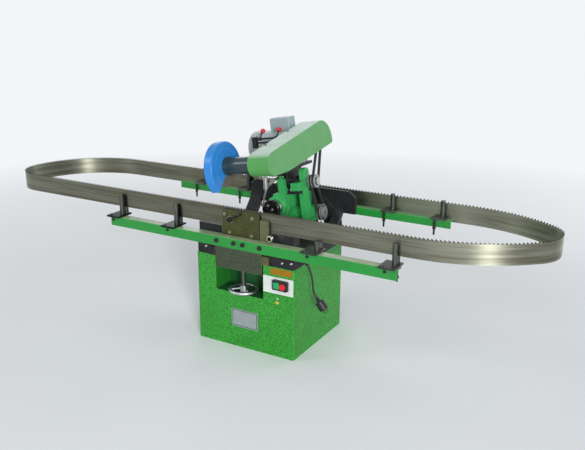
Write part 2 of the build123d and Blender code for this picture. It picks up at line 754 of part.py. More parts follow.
# Feed gearbox: barrel of the camshaft, worm housing, ears for the head pivot
with BuildPart(head_frame) as gearbox:
    block(box_left, box_right, 306, barrel_back, box_floor, box_floor + 18)
    fillet(gearbox.edges().filter_by(Axis(head_origin, upward)), radius=10)
    block(cam_x - 40, cam_x + 40, 312, barrel_back - 8, box_floor + 17, cam_z)
    with BuildSketch(side_plane(cam_x)) as worm:
        with Locations((gear_y, gear_z)):
            Circle(worm_r)
        with Locations((gear_y, box_floor)):
            Rectangle(4 * worm_r, 4 * worm_r, align=(Align.CENTER, Align.MIN), mode=Mode.INTERSECT)
    extrude(worm.sketch, amount=box_right - 8 - cam_x)
    block(cam_x, ear_right + 1, gear_y + 4, gear_y + 14, box_floor + 17, shelf_z - 20)
    rod(face_plane(barrel_back, cam_x, cam_z), barrel_r, barrel_back - barrel_front)
    for y in ring_y:
        rod(face_plane(y + ring_t / 2, cam_x, cam_z), barrel_r + 5, ring_t)
    block(cam_x - 6, cam_x + 62, barrel_front, 430, cam_z, shelf_z)
    block(ear_left, ear_left + ear_left_t, pivot_y - ear_r, pivot_y + ear_r, shelf_z - 10, pivot_z)
    rod(side_plane(ear_left, pivot_y, pivot_z), ear_r, ear_left_t)
    ear = [(338, box_floor + 17), (396, box_floor + 17), (392, -202), (pivot_y + ear_r, -182),
           (pivot_y + ear_r, -113), (pivot_y - ear_r, -113), (pivot_y - ear_r, -150), (338, -170)]
    slab(side_plane(ear_right), ear, ear_right_t)
    rod(side_plane(ear_right, pivot_y, -113), ear_r, ear_right_t)
    block(ear_right - 16, ear_right + ear_right_t, 290, 350, -191, -150)
    rod(side_plane(box_right - 60, gear_y, gear_z), 25, 60)
    rod(side_plane(ear_right - 1, pivot_y, -113), 9, ear_right_t + 2, Mode.SUBTRACT)
    rod(side_plane(ear_left - 1, pivot_y, pivot_z), pivot_r + turn_fit, 180, Mode.SUBTRACT)
    rod(face_plane(cam_end, cam_x, cam_z), cam_r + turn_fit, cam_end - barrel_front + 1, Mode.SUBTRACT)
    rod(side_plane(box_right - 45, gear_y, gear_z), gear_shaft_r + turn_fit, 46, Mode.SUBTRACT)
    rod(face_plane(354, lever_pin_x, lever_z), lever_pin_r + turn_fit, 20, Mode.SUBTRACT)
gearbox.part.label = "gearbox"
export_step(gearbox.part, "parts/gearbox.step")

# Pivot shaft of the head, fixed in the two ears
with BuildPart() as pivot_shaft:
    nut_x = ear_left - 24
    rod(side_plane(nut_x, pivot_y, pivot_z), pivot_r, drive_belt_x + 14 - nut_x)
    hexagon(side_plane(nut_x, pivot_y, pivot_z), 30, 12)
    rod(side_plane(nut_x + 12, pivot_y, pivot_z), 20, 12)
    rod(side_plane(drive_belt_x + 12, pivot_y, pivot_z), 18, 7)
pivot_shaft.part.label = "pivot_shaft"
export_step(pivot_shaft.part, "parts/pivot_shaft.step")

# Crank disc on the camshaft, with its slot and clamp bolts, and the collar behind it
with BuildPart() as crank_disc:
    disc_back = crank_y + crank_t
    rod(face_plane(disc_back, cam_x, cam_z), crank_r, crank_t)
    chamfer(crank_disc.edges().filter_by(GeomType.CIRCLE).sort_by(Axis.Y)[0], length=2)
    rod(face_plane(cam_end - 2, cam_x, cam_z), cam_r, cam_end - 2 - disc_back)
    with BuildSketch(face_plane(crank_y, cam_x, cam_z)):
        with Locations(Location((0, 0), 135)):
            Rectangle(2 * crank_r + 2, 14)
    extrude(amount=-5, mode=Mode.SUBTRACT)
    for bolt_x, bolt_z in crank_bolts:
        rod(face_plane(crank_y + 6, cam_x + bolt_x, cam_z + bolt_z), 3.5, 7)
        hexagon(face_plane(crank_y, cam_x + bolt_x, cam_z + bolt_z), 10, 4.5)
crank_disc.part.label = "crank_disc"
export_step(crank_disc.part, "parts/crank_disc.step")

with BuildPart() as cam_collar:
    collar_back = barrel_front - 4
    rod(face_plane(collar_back, cam_x, cam_z), collar_r, collar_back - disc_back)
    with BuildSketch(face_plane(collar_back - 12, cam_x, cam_z)) as groove:
        Circle(collar_r + 1)
        Circle(collar_r - 5, mode=Mode.SUBTRACT)
    extrude(groove.sketch, amount=8, mode=Mode.SUBTRACT)
    rod(face_plane(collar_back + 1, cam_x, cam_z), cam_r, collar_back - disc_back + 2, Mode.SUBTRACT)
cam_collar.part.label = "cam_collar"
export_step(cam_collar.part, "parts/cam_collar.step")

# Feed rod: bent bar with its sleeve, from the crank to the rocker
with BuildPart() as feed_rod:
    low_end = head_point(feed_low[0], feed_y, feed_low[1])
    bend = head_point(feed_bend[0], feed_y, feed_bend[1])
    top_end = head_point(feed_top[0], feed_y, feed_top[1])
    with BuildLine() as feed_path:
        FilletPolyline(low_end, bend, top_end, radius=90)
    with BuildSketch(Plane(origin=low_end, x_dir=across, z_dir=bend - low_end)):
        Circle(5)
    sweep(path=feed_path.wires()[0])
    upper = Plane(origin=bend, x_dir=across, z_dir=top_end - bend)
    rod(upper.offset(8), sleeve_r, (top_end - bend).length - 10)
    rod(face_plane(feed_y + 6, *feed_low), 10, 12)
    rod(face_plane(feed_y + sleeve_r + 1, *feed_pin), feed_pin_r + turn_fit, 20, Mode.SUBTRACT)
feed_rod.part.label = "feed_rod"
export_step(feed_rod.part, "parts/feed_rod.step")

# Bracket on the gearbox shelf and the feed rocker that turns in it
with BuildPart(head_frame) as feed_bracket:
    bracket_top = rock_z + 8
    shoulder = [(rock_x - 9, shelf_z), (rock_x + 26, shelf_z), (rock_x + 26, bracket_top - 22),
                (rock_x + 7, bracket_top), (rock_x - 9, bracket_top)]
    slab(face_plane(barrel_front + 24), shoulder, 24)
    rod(face_plane(barrel_front + 25, rock_x, rock_z), feed_pin_r + turn_fit, 26, Mode.SUBTRACT)
feed_bracket.part.label = "feed_bracket"
export_step(feed_bracket.part, "parts/feed_bracket.step")

with BuildPart() as feed_rocker:
    rock_front = feed_y + sleeve_r + 1.6
    rock_t = 10.0
    with BuildSketch(face_plane(rock_front + rock_t)) as rock_arm:
        with Locations((rock_x, rock_z)):
            Circle(rock_r)
        with Locations(feed_pin):
            Circle(8)
        make_hull()
    extrude(rock_arm.sketch, amount=rock_t)
    rod(face_plane(barrel_front + 22, rock_x, rock_z), feed_pin_r, barrel_front + 22 - rock_front)
    rod(face_plane(barrel_front - 1, rock_x, rock_z), rock_r - 1, barrel_front - 1 - rock_front)
    rod(face_plane(rock_front, rock_x, rock_z), rock_r - 1, 7)
    rod(face_plane(rock_front + 1, *feed_pin), feed_pin_r, 16)
feed_rocker.part.label = "feed_rocker"
export_step(feed_rocker.part, "parts/feed_rocker.step")

# Lift lever with its pin, and the rod that lifts the head
with BuildPart(head_frame) as lift_lever:
    block(rod_x - 13, lever_pin_x + 12, rod_y - 6, rod_y + 6, lever_z - lever_h / 2, lever_z + lever_h / 2)
    rod(face_plane(352, lever_pin_x, lever_z), lever_pin_r, 34)
    rod(face_plane(rod_y - 6, lever_pin_x, lever_z), lever_pin_r + 3, 5)
lift_lever.part.label = "lift_lever"
export_step(lift_lever.part, "parts/lift_lever.step")

arm_foot_z = -44.0
arm_knee = (352.0, -110.0)
with BuildPart() as lift_rod:
    rod_low = lever_z + lever_h / 2 + 0.5
    rod_high = arm_foot_z + (arm_knee[1] - arm_foot_z) * rod_y / arm_knee[0] - 1.3
    rod(lift_plane(rod_low, rod_x, rod_y), rod_r, rod_high - rod_low)
lift_rod.part.label = "lift_rod"
export_step(lift_rod.part, "parts/lift_rod.step")

# Head arm: web from the spindle housing to the pivot hub and the motor seat
with BuildPart(head_frame) as head_arm:
    web = [(0, arm_foot_z), arm_knee, (364, -150), (418, -150), (445, seat_z - 14), (566, seat_z - 14),
           (566, seat_z), (404, seat_z), (330, -34), (120, 24), (0, 36)]
    slab(side_plane(arm_left), web, arm_right - arm_left)
    block(motor_left + 26, arm_right - 8, 404, 566, seat_z - 14, seat_z)
    rod(side_plane(ear_left + ear_left_t + side_gap, pivot_y, pivot_z), hub_r,
        ear_right - ear_left - ear_left_t - 2 * side_gap)
    for rib_x in (-44, 20):
        rib = [(440, seat_z - 60), (470, seat_z - 60), (556, seat_z - 13), (410, seat_z - 13)]
        slab(side_plane(rib_x), rib, 12)
    block(-44, arm_left + 1, 440, 452, seat_z - 60, seat_z - 13)
    rod(side_plane(arm_left - 1), housing_r, arm_right - arm_left + 2, Mode.SUBTRACT)
    hub_l = ear_left + ear_left_t
    rod(side_plane(hub_l, pivot_y, pivot_z), pivot_r + turn_fit, ear_right - hub_l, Mode.SUBTRACT)
head_arm.part.label = "head_arm"
export_step(head_arm.part, "parts/head_arm.step")

# Spindle housing: tube with a flange at the wheel end
with BuildPart() as spindle_housing:
    rod(side_plane(0), housing_r, housing_len)
    rod(side_plane(0), flange_r, 13)
    chamfer(spindle_housing.edges().filter_by(GeomType.CIRCLE).sort_by(Axis.X)[-1], length=1)
    rod(side_plane(-1), spindle_r + turn_fit, housing_len + 2, Mode.SUBTRACT)
spindle_housing.part.label = "spindle_housing"
export_step(spindle_housing.part, "parts/spindle_housing.step")


def guard_outline():
    """Side outline of the wheel guard: a drum whose front runs on into a skirt."""
    leave = radians(skirt_turn)
    middle = (guard_y, guard_z)
    skirt_top = (guard_y + guard_r * cos(leave), guard_z + guard_r * sin(leave))
    with BuildSketch() as drum:
        with Locations(middle):
            Circle(guard_r)
        with BuildLine():
            TangentArc(skirt_top, skirt_tip, tangent=(-sin(leave), cos(leave)))
            Line(skirt_tip, middle)
            Line(middle, skirt_top)
        make_face()
    return drum.sketch


# Wheel guard: sheet drum, open at the lower rear where the wheel meets the teeth
with BuildPart() as wheel_guard:
    drum_outline = guard_outline()
    with BuildSketch(side_plane(-guard_w)):
        add(drum_outline)
    extrude(amount=guard_w)
    mouth = [(-30, -45), (-230, -245), (-230, -300), (300, -300), (300, -24), (22, -42)]
    slab(side_plane(-guard_w - 1), mouth, guard_w + 2, Mode.SUBTRACT)
    fillet(wheel_guard.edges().filter_by(GeomType.CIRCLE), radius=5)
    with BuildSketch(side_plane(-guard_w + guard_t)):
        offset(drum_outline, amount=-guard_t)
    extrude(amount=guard_w - 2 * guard_t, mode=Mode.SUBTRACT)
    rod(side_plane(-guard_t - 1), spindle_r + 8, guard_t + 2, Mode.SUBTRACT)
wheel_guard.part.label = "wheel_guard"
export_step(wheel_guard.part, "parts/wheel_guard.step")

# Spindle with the wheel collars, the nut and its pulley
with BuildPart() as spindle:
    rod(side_plane(wheel_left - collar_t - 5), spindle_r, spindle_belt_x + 11 - wheel_left + collar_t + 5)
    rod(side_plane(wheel_left - collar_t), 38, collar_t)
    rod(side_plane(wheel_left + grind_t), 38, collar_t)
    hexagon(side_plane(wheel_left - collar_t - 6), 32, 7)
    pulley(spindle_belt_x, 0, 0, spindle_pulley_r, 18)
spindle.part.label = "spindle"
export_step(spindle.part, "parts/spindle.step")

with BuildPart() as grinding_wheel:
    rod(side_plane(wheel_left), grind_r, grind_t)
    chamfer(grinding_wheel.edges().filter_by(GeomType.CIRCLE), length=3)
    rod(side_plane(wheel_left - 1), spindle_r, grind_t + 2, Mode.SUBTRACT)
grinding_wheel.part.label = "grinding_wheel"
export_step(grinding_wheel.part, "parts/grinding_wheel.step")


def cover_outline():
    """Side outline of the belt cover: round nose, rising top and rounded rear end."""
    rise = radians(cover_rise)
    top_start = (-nose_r * sin(rise), nose_r * cos(rise))
    rear_top = (584, top_start[1] + (584 - top_start[0]) * tan(rise))
    with BuildSketch() as tail:
        Polygon((0, 0), (0, -nose_r), (128, -nose_r), (606, 9), rear_top, top_start, align=None)
        fillet(tail.vertices().sort_by(Axis.X)[-1], radius=18)
        fillet(tail.vertices().filter_by(lambda v: v.Y > 150), radius=110)
        Circle(nose_r)
    return tail.sketch


# Belt cover: light sheet hood round the spindle belt
with BuildPart(head_frame) as belt_cover:
    hood = cover_outline()
    with BuildSketch(side_plane(housing_len)):
        add(hood)
    extrude(amount=cover_w)
    with BuildSketch(side_plane(housing_len + cover_t)):
        offset(hood, amount=-cover_t)
    extrude(amount=cover_w - 2 * cover_t, mode=Mode.SUBTRACT)
    rod(side_plane(housing_len - 1), spindle_r + 8, cover_t + 2, Mode.SUBTRACT)
    rod(side_plane(housing_len - 1, motor_y, motor_z), 34, cover_t + 2, Mode.SUBTRACT)
    slot = belt_w / 2 + 4
    block(drive_belt_x - slot, drive_belt_x + slot, 396, 508, -60, 2, Mode.SUBTRACT)
belt_cover.part.label = "belt_cover"
export_step(belt_cover.part, "parts/belt_cover.step")

# Motor: barrel with a domed fan cowl, feet and a shaft bore
with BuildPart(head_frame) as motor:
    rod(side_plane(motor_left, motor_y, motor_z), motor_r + 3, 66)
    fillet(motor.edges().filter_by(GeomType.CIRCLE).sort_by(Axis.X)[0], radius=24)
    rod(side_plane(motor_left + 60, motor_y, motor_z), motor_r, housing_len - motor_left - 62)
    rod(side_plane(housing_len - 4, motor_y, motor_z), 56, 4)
    for foot_x in (motor_left + 86, housing_len - 58):
        block(foot_x, foot_x + 40, motor_y - 68, motor_y + 68, seat_z, seat_z + 34)
    bore_x = housing_len - 90
    shell_len = housing_len - motor_left - 26
    rod(side_plane(motor_left + 12, motor_y, motor_z), motor_r - 9, shell_len, Mode.SUBTRACT)
    rod(side_plane(bore_x, motor_y, motor_z), motor_shaft_r + turn_fit, 92, Mode.SUBTRACT)
motor.part.label = "motor"
export_step(motor.part, "parts/motor.step")

# Terminal box saddled on the motor
with BuildPart(head_frame) as terminal_box:
    box_top = motor_z + motor_r + 65
    block(-9, 111, motor_y - 35, motor_y + 35, motor_z + 60, box_top)
    fillet(terminal_box.edges().filter_by(Axis(head_origin, upward)), radius=9)
    fillet(terminal_box.faces().sort_by(Axis(head_origin, upward))[-1].edges(), radius=5)
    rod(side_plane(-40, motor_y, motor_z), motor_r, 190, Mode.SUBTRACT)
terminal_box.part.label = "terminal_box"
export_step(terminal_box.part, "parts/terminal_box.step")

# Motor shaft with its two pulleys
with BuildPart() as motor_rotor:
    rod(side_plane(bore_x + 2, motor_y, motor_z), motor_shaft_r, drive_belt_x + 8 - bore_x)
    for station in (spindle_belt_x, drive_belt_x):
        pulley(station, motor_y, motor_z, motor_pulley_r, 18)
motor_rotor.part.label = "motor_rotor"
export_step(motor_rotor.part, "parts/motor_rotor.step")

# Counter pulley on the pivot shaft and the gearbox pulley below it
with BuildPart() as counter_pulley:
    for station in (drive_belt_x, lower_belt_x):
        pulley(station, pivot_y, pivot_z, counter_r, 20)
    rod(side_plane(lower_belt_x - 30, pivot_y, pivot_z), pivot_r + turn_fit, 90, Mode.SUBTRACT)
counter_pulley.part.label = "counter_pulley"
export_step(counter_pulley.part, "parts/counter_pulley.step")

with BuildPart() as gear_pulley:
    rod(side_plane(box_right - 43, gear_y, gear_z), gear_shaft_r, lower_belt_x + 57 - box_right)
    pulley(lower_belt_x, gear_y, gear_z, gear_pulley_r, 20)
    rod(side_plane(lower_belt_x, gear_y, gear_z), 30, 18)
gear_pulley.part.label = "gear_pulley"
export_step(gear_pulley.part, "parts/gear_pulley.step")

# Belts
with BuildPart() as belt_spindle:
    belt_loop(spindle_belt_x, (0, 0), spindle_pulley_r, (motor_y, motor_z), motor_pulley_r)
belt_spindle.part.label = "belt_spindle"
export_step(belt_spindle.part, "parts/belt_spindle.step")

with BuildPart() as belt_drive:
    belt_loop(drive_belt_x, (motor_y, motor_z), motor_pulley_r, (pivot_y, pivot_z), counter_r)
belt_drive.part.label = "belt_drive"
export_step(belt_drive.part, "parts/belt_drive.step")

with BuildPart() as belt_lower:
    belt_loop(lower_belt_x, (pivot_y, pivot_z), counter_r, (gear_y, gear_z), gear_pulley_r)
belt_lower.part.label = "belt_lower"
export_step(belt_lower.part, "parts/belt_lower.step")

# Handle bracket: two cross rods on the cover and a clamp at their free end
with BuildPart(head_frame) as handle_bracket:
    for level in (handle_z, handle_z - 20):
        rod(side_plane(-50, handle_y, level), handle_rod_r, housing_len + 50)
    block(-60, -38, handle_y - 12, handle_y + 12, handle_z - 46, handle_z + 12)
handle_bracket.part.label = "handle_bracket"
export_step(handle_bracket.part, "parts/handle_bracket.step")


def handle_stem(x):
    """Handle hub on the upper cross rod with a stem that leans back."""
    rod(side_plane(x - 8, handle_y, handle_z), 9, 16)
    lean = across * 36 + upward * 32
    rod(Plane(origin=head_point(x, handle_y, handle_z), x_dir=along, z_dir=lean), 4, lean.length)
    rod(side_plane(x - 9, handle_y, handle_z), handle_rod_r + turn_fit, 18, Mode.SUBTRACT)


def handle_ball(x):
    """Ball with a socket for the end of its stem."""
    lean = across * 36 + upward * 32
    with Locations(head_point(x, handle_y, handle_z) + lean * 1.12):
        Sphere(ball_r)
    stem = Plane(origin=head_point(x, handle_y, handle_z), x_dir=along, z_dir=lean)
    rod(stem, 4, lean.length, Mode.SUBTRACT)


with BuildPart() as handle_left:
    handle_stem(handle_x[0])
handle_left.part.label = "handle_left"
export_step(handle_left.part, "parts/handle_left.step")

with BuildPart() as ball_left:
    handle_ball(handle_x[0])
ball_left.part.label = "ball_left"
export_step(ball_left.part, "parts/ball_left.step")

with BuildPart() as handle_right:
    handle_stem(handle_x[1])
handle_right.part.label = "handle_right"
export_step(handle_right.part, "parts/handle_right.step")

with BuildPart() as ball_right:
    handle_ball(handle_x[1])
ball_right.part.label = "ball_right"
export_step(ball_right.part, "parts/ball_right.step")

# Cord gland on the bed's side, cord and plug
side_x = cabinet_w / 2
cord_route = [(302.0, 469.0), (321.0, 430.0), (331.0, 376.0), (333.0, 336.0), (351.0, 314.0)]
cord_points = [Vector(x + side_x - 280, cord_y, z + gland_z - 490) for x, z in cord_route]
cord_start = (cord_points[1] - cord_points[0]).normalized()
cord_end = (cord_points[-1] - cord_points[-2]).normalized()
with BuildPart() as gland:
    elbow = cord_points[0] - cord_start * 24
    hexagon(end_plane(side_x, cord_y, elbow.Z), 26, 6)
    rod(end_plane(side_x, cord_y, elbow.Z), 11, elbow.X - side_x)
    with Locations(elbow):
        Sphere(11)
    rod(Plane(origin=elbow, x_dir=(0, 1, 0), z_dir=cord_start), 10, 24)
    split(bisect_by=Plane(origin=(side_x, 0, 0), x_dir=(0, 1, 0), z_dir=(1, 0, 0)), keep=Keep.TOP)
gland.part.label = "gland"
export_step(gland.part, "parts/gland.step")

cord_radii = []
for before, here, after in zip(cord_points, cord_points[1:], cord_points[2:]):
    turn = radians((here - before).get_angle(after - here))
    shorter = min((here - before).length, (after - here).length)
    cord_radii.append(0.45 * shorter / tan(turn / 2))
print("cord radii", [round(r, 1) for r in cord_radii])
with BuildPart() as cord:
    with BuildLine() as cord_path:
        FilletPolyline(*cord_points, radius=cord_radii)
    with BuildSketch(Plane(origin=cord_points[0], x_dir=(0, 1, 0), z_dir=cord_start)):
        Circle(cord_r)
    sweep(path=cord_path.wires()[0])
cord.part.label = "cord"
export_step(cord.part, "parts/cord.step")
cord_length = cord_path.wires()[0].length
tube_volume = pi * cord_r ** 2 * cord_length
print("cord length", round(cord_length), "volume ratio", cord.part.volume / tube_volume)

with BuildPart() as plug:
    plug_plane = Plane(origin=cord_points[-1], x_dir=(0, 1, 0), z_dir=cord_end)
    with BuildSketch(plug_plane):
        Circle(cord_r + 2)
    with BuildSketch(plug_plane.offset(plug_neck)):
        Circle(12)
    loft()
    rod(plug_plane.offset(plug_neck), plug_r, plug_len)
    fillet(plug.edges().filter_by(GeomType.CIRCLE).group_by(SortBy.RADIUS)[-1], radius=3)
    for i in range(3):
        pin = radians(120 * i + 30)
        with BuildSketch(plug_plane.offset(plug_neck + plug_len - 1)):
            with Locations((0.5 * plug_r * cos(pin), 0.5 * plug_r * sin(pin))):
                Circle(2.4)
        extrude(amount=17)
plug.part.label = "plug"
export_step(plug.part, "parts/plug.step")
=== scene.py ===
import json
import math

import bmesh
import bpy
from mathutils import Matrix, Vector


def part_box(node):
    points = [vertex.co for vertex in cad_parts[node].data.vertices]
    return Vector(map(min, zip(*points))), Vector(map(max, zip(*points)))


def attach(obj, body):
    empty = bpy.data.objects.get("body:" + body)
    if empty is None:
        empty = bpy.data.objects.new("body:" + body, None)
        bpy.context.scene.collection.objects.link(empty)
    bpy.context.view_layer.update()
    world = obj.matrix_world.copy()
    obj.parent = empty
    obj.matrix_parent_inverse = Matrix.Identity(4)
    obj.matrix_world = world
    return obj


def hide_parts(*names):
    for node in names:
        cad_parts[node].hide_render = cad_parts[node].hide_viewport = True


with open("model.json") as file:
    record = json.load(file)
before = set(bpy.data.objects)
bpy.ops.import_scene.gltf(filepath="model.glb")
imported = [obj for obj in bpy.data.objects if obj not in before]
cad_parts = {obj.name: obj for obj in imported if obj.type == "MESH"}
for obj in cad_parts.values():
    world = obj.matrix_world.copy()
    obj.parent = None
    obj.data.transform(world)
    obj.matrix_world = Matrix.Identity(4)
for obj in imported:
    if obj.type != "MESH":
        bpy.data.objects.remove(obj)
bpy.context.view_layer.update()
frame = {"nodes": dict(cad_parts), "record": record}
nodes = frame["nodes"]

# Directions on the machine
FRONT = (0, -1, 0)
REARWARD = (0, 1, 0)
UPWARD = (0, 0, 1)

# Tilted head frame of the CAD, in metres
HOOK = math.radians(9.0)
HEAD_ORIGIN = Vector((-0.1314, -0.185, 0.9028))
HEAD_ALONG = Vector((math.cos(HOOK), 0, math.sin(HOOK)))
HEAD_UP = Vector((-math.sin(HOOK), 0, math.cos(HOOK)))


def head_point(x, y, z):
    """Place in the row frame of a point given in the head frame."""
    return HEAD_ORIGIN + HEAD_ALONG * x + Vector((0, y, 0)) + HEAD_UP * z


# Node helpers for the materials

NOISE_LOW = 0.3
NOISE_HIGH = 0.7
CELL_SMOOTHNESS = 0.6


def shader(name):
    """New material with its node tree and its principled shader."""
    material = bpy.data.materials.new(name)
    material.use_nodes = True
    tree = material.node_tree
    return material, tree, tree.nodes["Principled BSDF"]


def place(tree, stretch=(1, 1, 1)):
    """Coordinates of the piece in metres, scaled along each axis."""
    source = tree.nodes.new("ShaderNodeTexCoord")
    mapping = tree.nodes.new("ShaderNodeMapping")
    mapping.inputs["Scale"].default_value = stretch
    tree.links.new(source.outputs["Object"], mapping.inputs["Vector"])
    return mapping.outputs["Vector"]


def coordinate(tree, axis):
    """One coordinate of the piece, in metres."""
    parts = tree.nodes.new("ShaderNodeSeparateXYZ")
    tree.links.new(place(tree), parts.inputs["Vector"])
    return parts.outputs[axis]


def noise(tree, spot, scale, detail=4.0, roughness=0.55):
    """Cloudy noise between 0 and 1."""
    node = tree.nodes.new("ShaderNodeTexNoise")
    node.inputs["Scale"].default_value = scale
    node.inputs["Detail"].default_value = detail
    node.inputs["Roughness"].default_value = roughness
    tree.links.new(spot, node.inputs["Vector"])
    return node.outputs["Fac"]


def cells(tree, spot, size):
    """Rounded cells of a size, as in a hammered or grainy face; 0 at their middles."""
    node = tree.nodes.new("ShaderNodeTexVoronoi")
    node.feature = "SMOOTH_F1"
    node.inputs["Scale"].default_value = 1 / size
    node.inputs["Smoothness"].default_value = CELL_SMOOTHNESS
    tree.links.new(spot, node.inputs["Vector"])
    return node.outputs["Distance"]


def span(tree, value, low, high, start=NOISE_LOW, end=NOISE_HIGH):
    """Value stretched from its usual range to low and high."""
    node = tree.nodes.new("ShaderNodeMapRange")
    node.inputs["From Min"].default_value = start
    node.inputs["From Max"].default_value = end
    node.inputs["To Min"].default_value = low
    node.inputs["To Max"].default_value = high
    tree.links.new(value, node.inputs["Value"])
    return node.outputs["Result"]


def mask(tree, value, start, end, most=1.0):
    """Mask that goes from 0 to its most while a value goes from start to end."""
    return span(tree, value, 0.0, most, start, end)


def faint(tree, full, most):
    """Mask that reaches its most where the full mask is 1."""
    return mask(tree, full, 0.0, 1.0, most)


def ramp(tree, value, *stops):
    """Colours along a value; each stop is a position and a colour."""
    node = tree.nodes.new("ShaderNodeValToRGB")
    elements = node.color_ramp.elements
    while len(elements) < len(stops):
        elements.new(0.5)
    for element, (position, colour) in zip(elements, stops):
        element.position = position
        element.color = (*colour, 1)
    tree.links.new(value, node.inputs["Fac"])
    return node.outputs["Color"]


def shade(colour, factor):
    """Colour made darker or lighter."""
    return tuple(min(1.0, c * factor) for c in colour)


def mottled(tree, value, colour, dark, light):
    """Colour that goes from a darker to a lighter shade of itself with a noise."""
    return ramp(tree, value, (NOISE_LOW, shade(colour, dark)), (NOISE_HIGH, shade(colour, light)))


def over(tree, amount, below, above):
    """Colour above laid over colour below by an amount."""
    node = tree.nodes.new("ShaderNodeMix")
    node.data_type = "RGBA"
    tree.links.new(amount, node.inputs["Factor"])
    tree.links.new(below, node.inputs["A"])
    if isinstance(above, tuple):
        node.inputs["B"].default_value = (*above, 1)
    else:
        tree.links.new(above, node.inputs["B"])
    return node.outputs["Result"]


def combine(tree, operation, first, second):
    """Two values joined by a math operation."""
    node = tree.nodes.new("ShaderNodeMath")
    node.operation = operation
    tree.links.new(first, node.inputs[0])
    tree.links.new(second, node.inputs[1])
    return node.outputs["Value"]


def overlap(tree, first, *others):
    """Mask of the place that all the given masks share."""
    shared = first
    for other in others:
        shared = combine(tree, "MINIMUM", shared, other)
    return shared


def vectors(tree, operation, first, second=None):
    """Outputs of a vector operation; second is a fixed vector or the output of a node."""
    node = tree.nodes.new("ShaderNodeVectorMath")
    node.operation = operation
    tree.links.new(first, node.inputs[0])
    if isinstance(second, bpy.types.NodeSocket):
        tree.links.new(second, node.inputs[1])
    elif second is not None:
        node.inputs[1].default_value = second
    return node.outputs


def along(tree, axis, start, end):
    """Mask that goes from 0 to 1 between two places on an axis of the piece."""
    return mask(tree, coordinate(tree, axis), start, end)


def band(tree, value, low, high, soft):
    """Mask that is 1 where a value lies between two limits."""
    return overlap(tree, mask(tree, value, low, low + soft), mask(tree, value, high, high - soft))


def boxed(tree, low, high, soft=0.001):
    """Mask that is 1 inside a box of the piece, given by two corners."""
    limits = zip("XYZ", low, high)
    sides = [band(tree, coordinate(tree, axis), first, last, soft) for axis, first, last in limits]
    return overlap(tree, *sides)


def radius_from(tree, origin, axis):
    """Distance from a turning axis, in metres."""
    arm = vectors(tree, "SUBTRACT", place(tree), origin)["Vector"]
    sweep = vectors(tree, "CROSS_PRODUCT", arm, axis)["Vector"]
    return vectors(tree, "LENGTH", sweep)["Value"]


def surface_normal(tree):
    """Direction in which the surface faces."""
    return tree.nodes.new("ShaderNodeNewGeometry").outputs["Normal"]


def facing(tree, direction):
    """How far the surface faces a direction, from -1 to 1."""
    return vectors(tree, "DOT_PRODUCT", surface_normal(tree), direction)["Value"]


# Edges: rays that look for one, cosines of a sharp and of a flat one, and patches of wear and painted edge
# highlight per metre
RIM_RAYS = 6
RIM_SHARP = 0.78
RIM_FLAT = 0.985
RIM_PATCHES = 55.0


def rims(tree, width, amount):
    """Mask along the edges of a piece, where finish rubs off in patches and a painted edge highlight lies.
    """
    soft = tree.nodes.new("ShaderNodeBevel")
    soft.samples = RIM_RAYS
    soft.inputs["Radius"].default_value = width
    turn = vectors(tree, "DOT_PRODUCT", soft.outputs["Normal"], surface_normal(tree))["Value"]
    edge = span(tree, turn, amount, 0.0, start=RIM_SHARP, end=RIM_FLAT)
    patches = noise(tree, place(tree), RIM_PATCHES, detail=5.0, roughness=0.65)
    patchy = span(tree, patches, low=0.25, high=1.0, start=0.35, end=0.6)
    return combine(tree, "MULTIPLY", edge, patchy)


def dents(tree, surface, height, strength, depth):
    """Small relief on the surface."""
    node = tree.nodes.new("ShaderNodeBump")
    node.inputs["Strength"].default_value = strength
    node.inputs["Distance"].default_value = depth
    tree.links.new(height, node.inputs["Height"])
    tree.links.new(node.outputs["Normal"], surface.inputs["Normal"])


def seen(tree):
    """1 for rays that look at the backdrop straight, by gloss or through glass."""
    path = tree.nodes.new("ShaderNodeLightPath")
    shine = combine(tree, "MAXIMUM", path.outputs["Is Glossy Ray"], path.outputs["Is Transmission Ray"])
    return combine(tree, "MAXIMUM", path.outputs["Is Camera Ray"], shine)


# Kinds of finish; scales are patches per metre, rims and reliefs are metres, tones are shares of the colour

SMOOTH_PEBBLE = 0.2
PAINT_CLOUDS = 7.0
PAINT_STAINS = 3.2
PAINT_HAZE = 14.0
PAINT_RIM = 0.003
PAINT_RELIEF = 0.0005
CLOUD_TONE = 0.72
STAIN_TONE = 0.42
PRIMER_AND_SHEEN_SHARE = 0.56
PRIMER_AND_SHEEN_PALE = 0.17


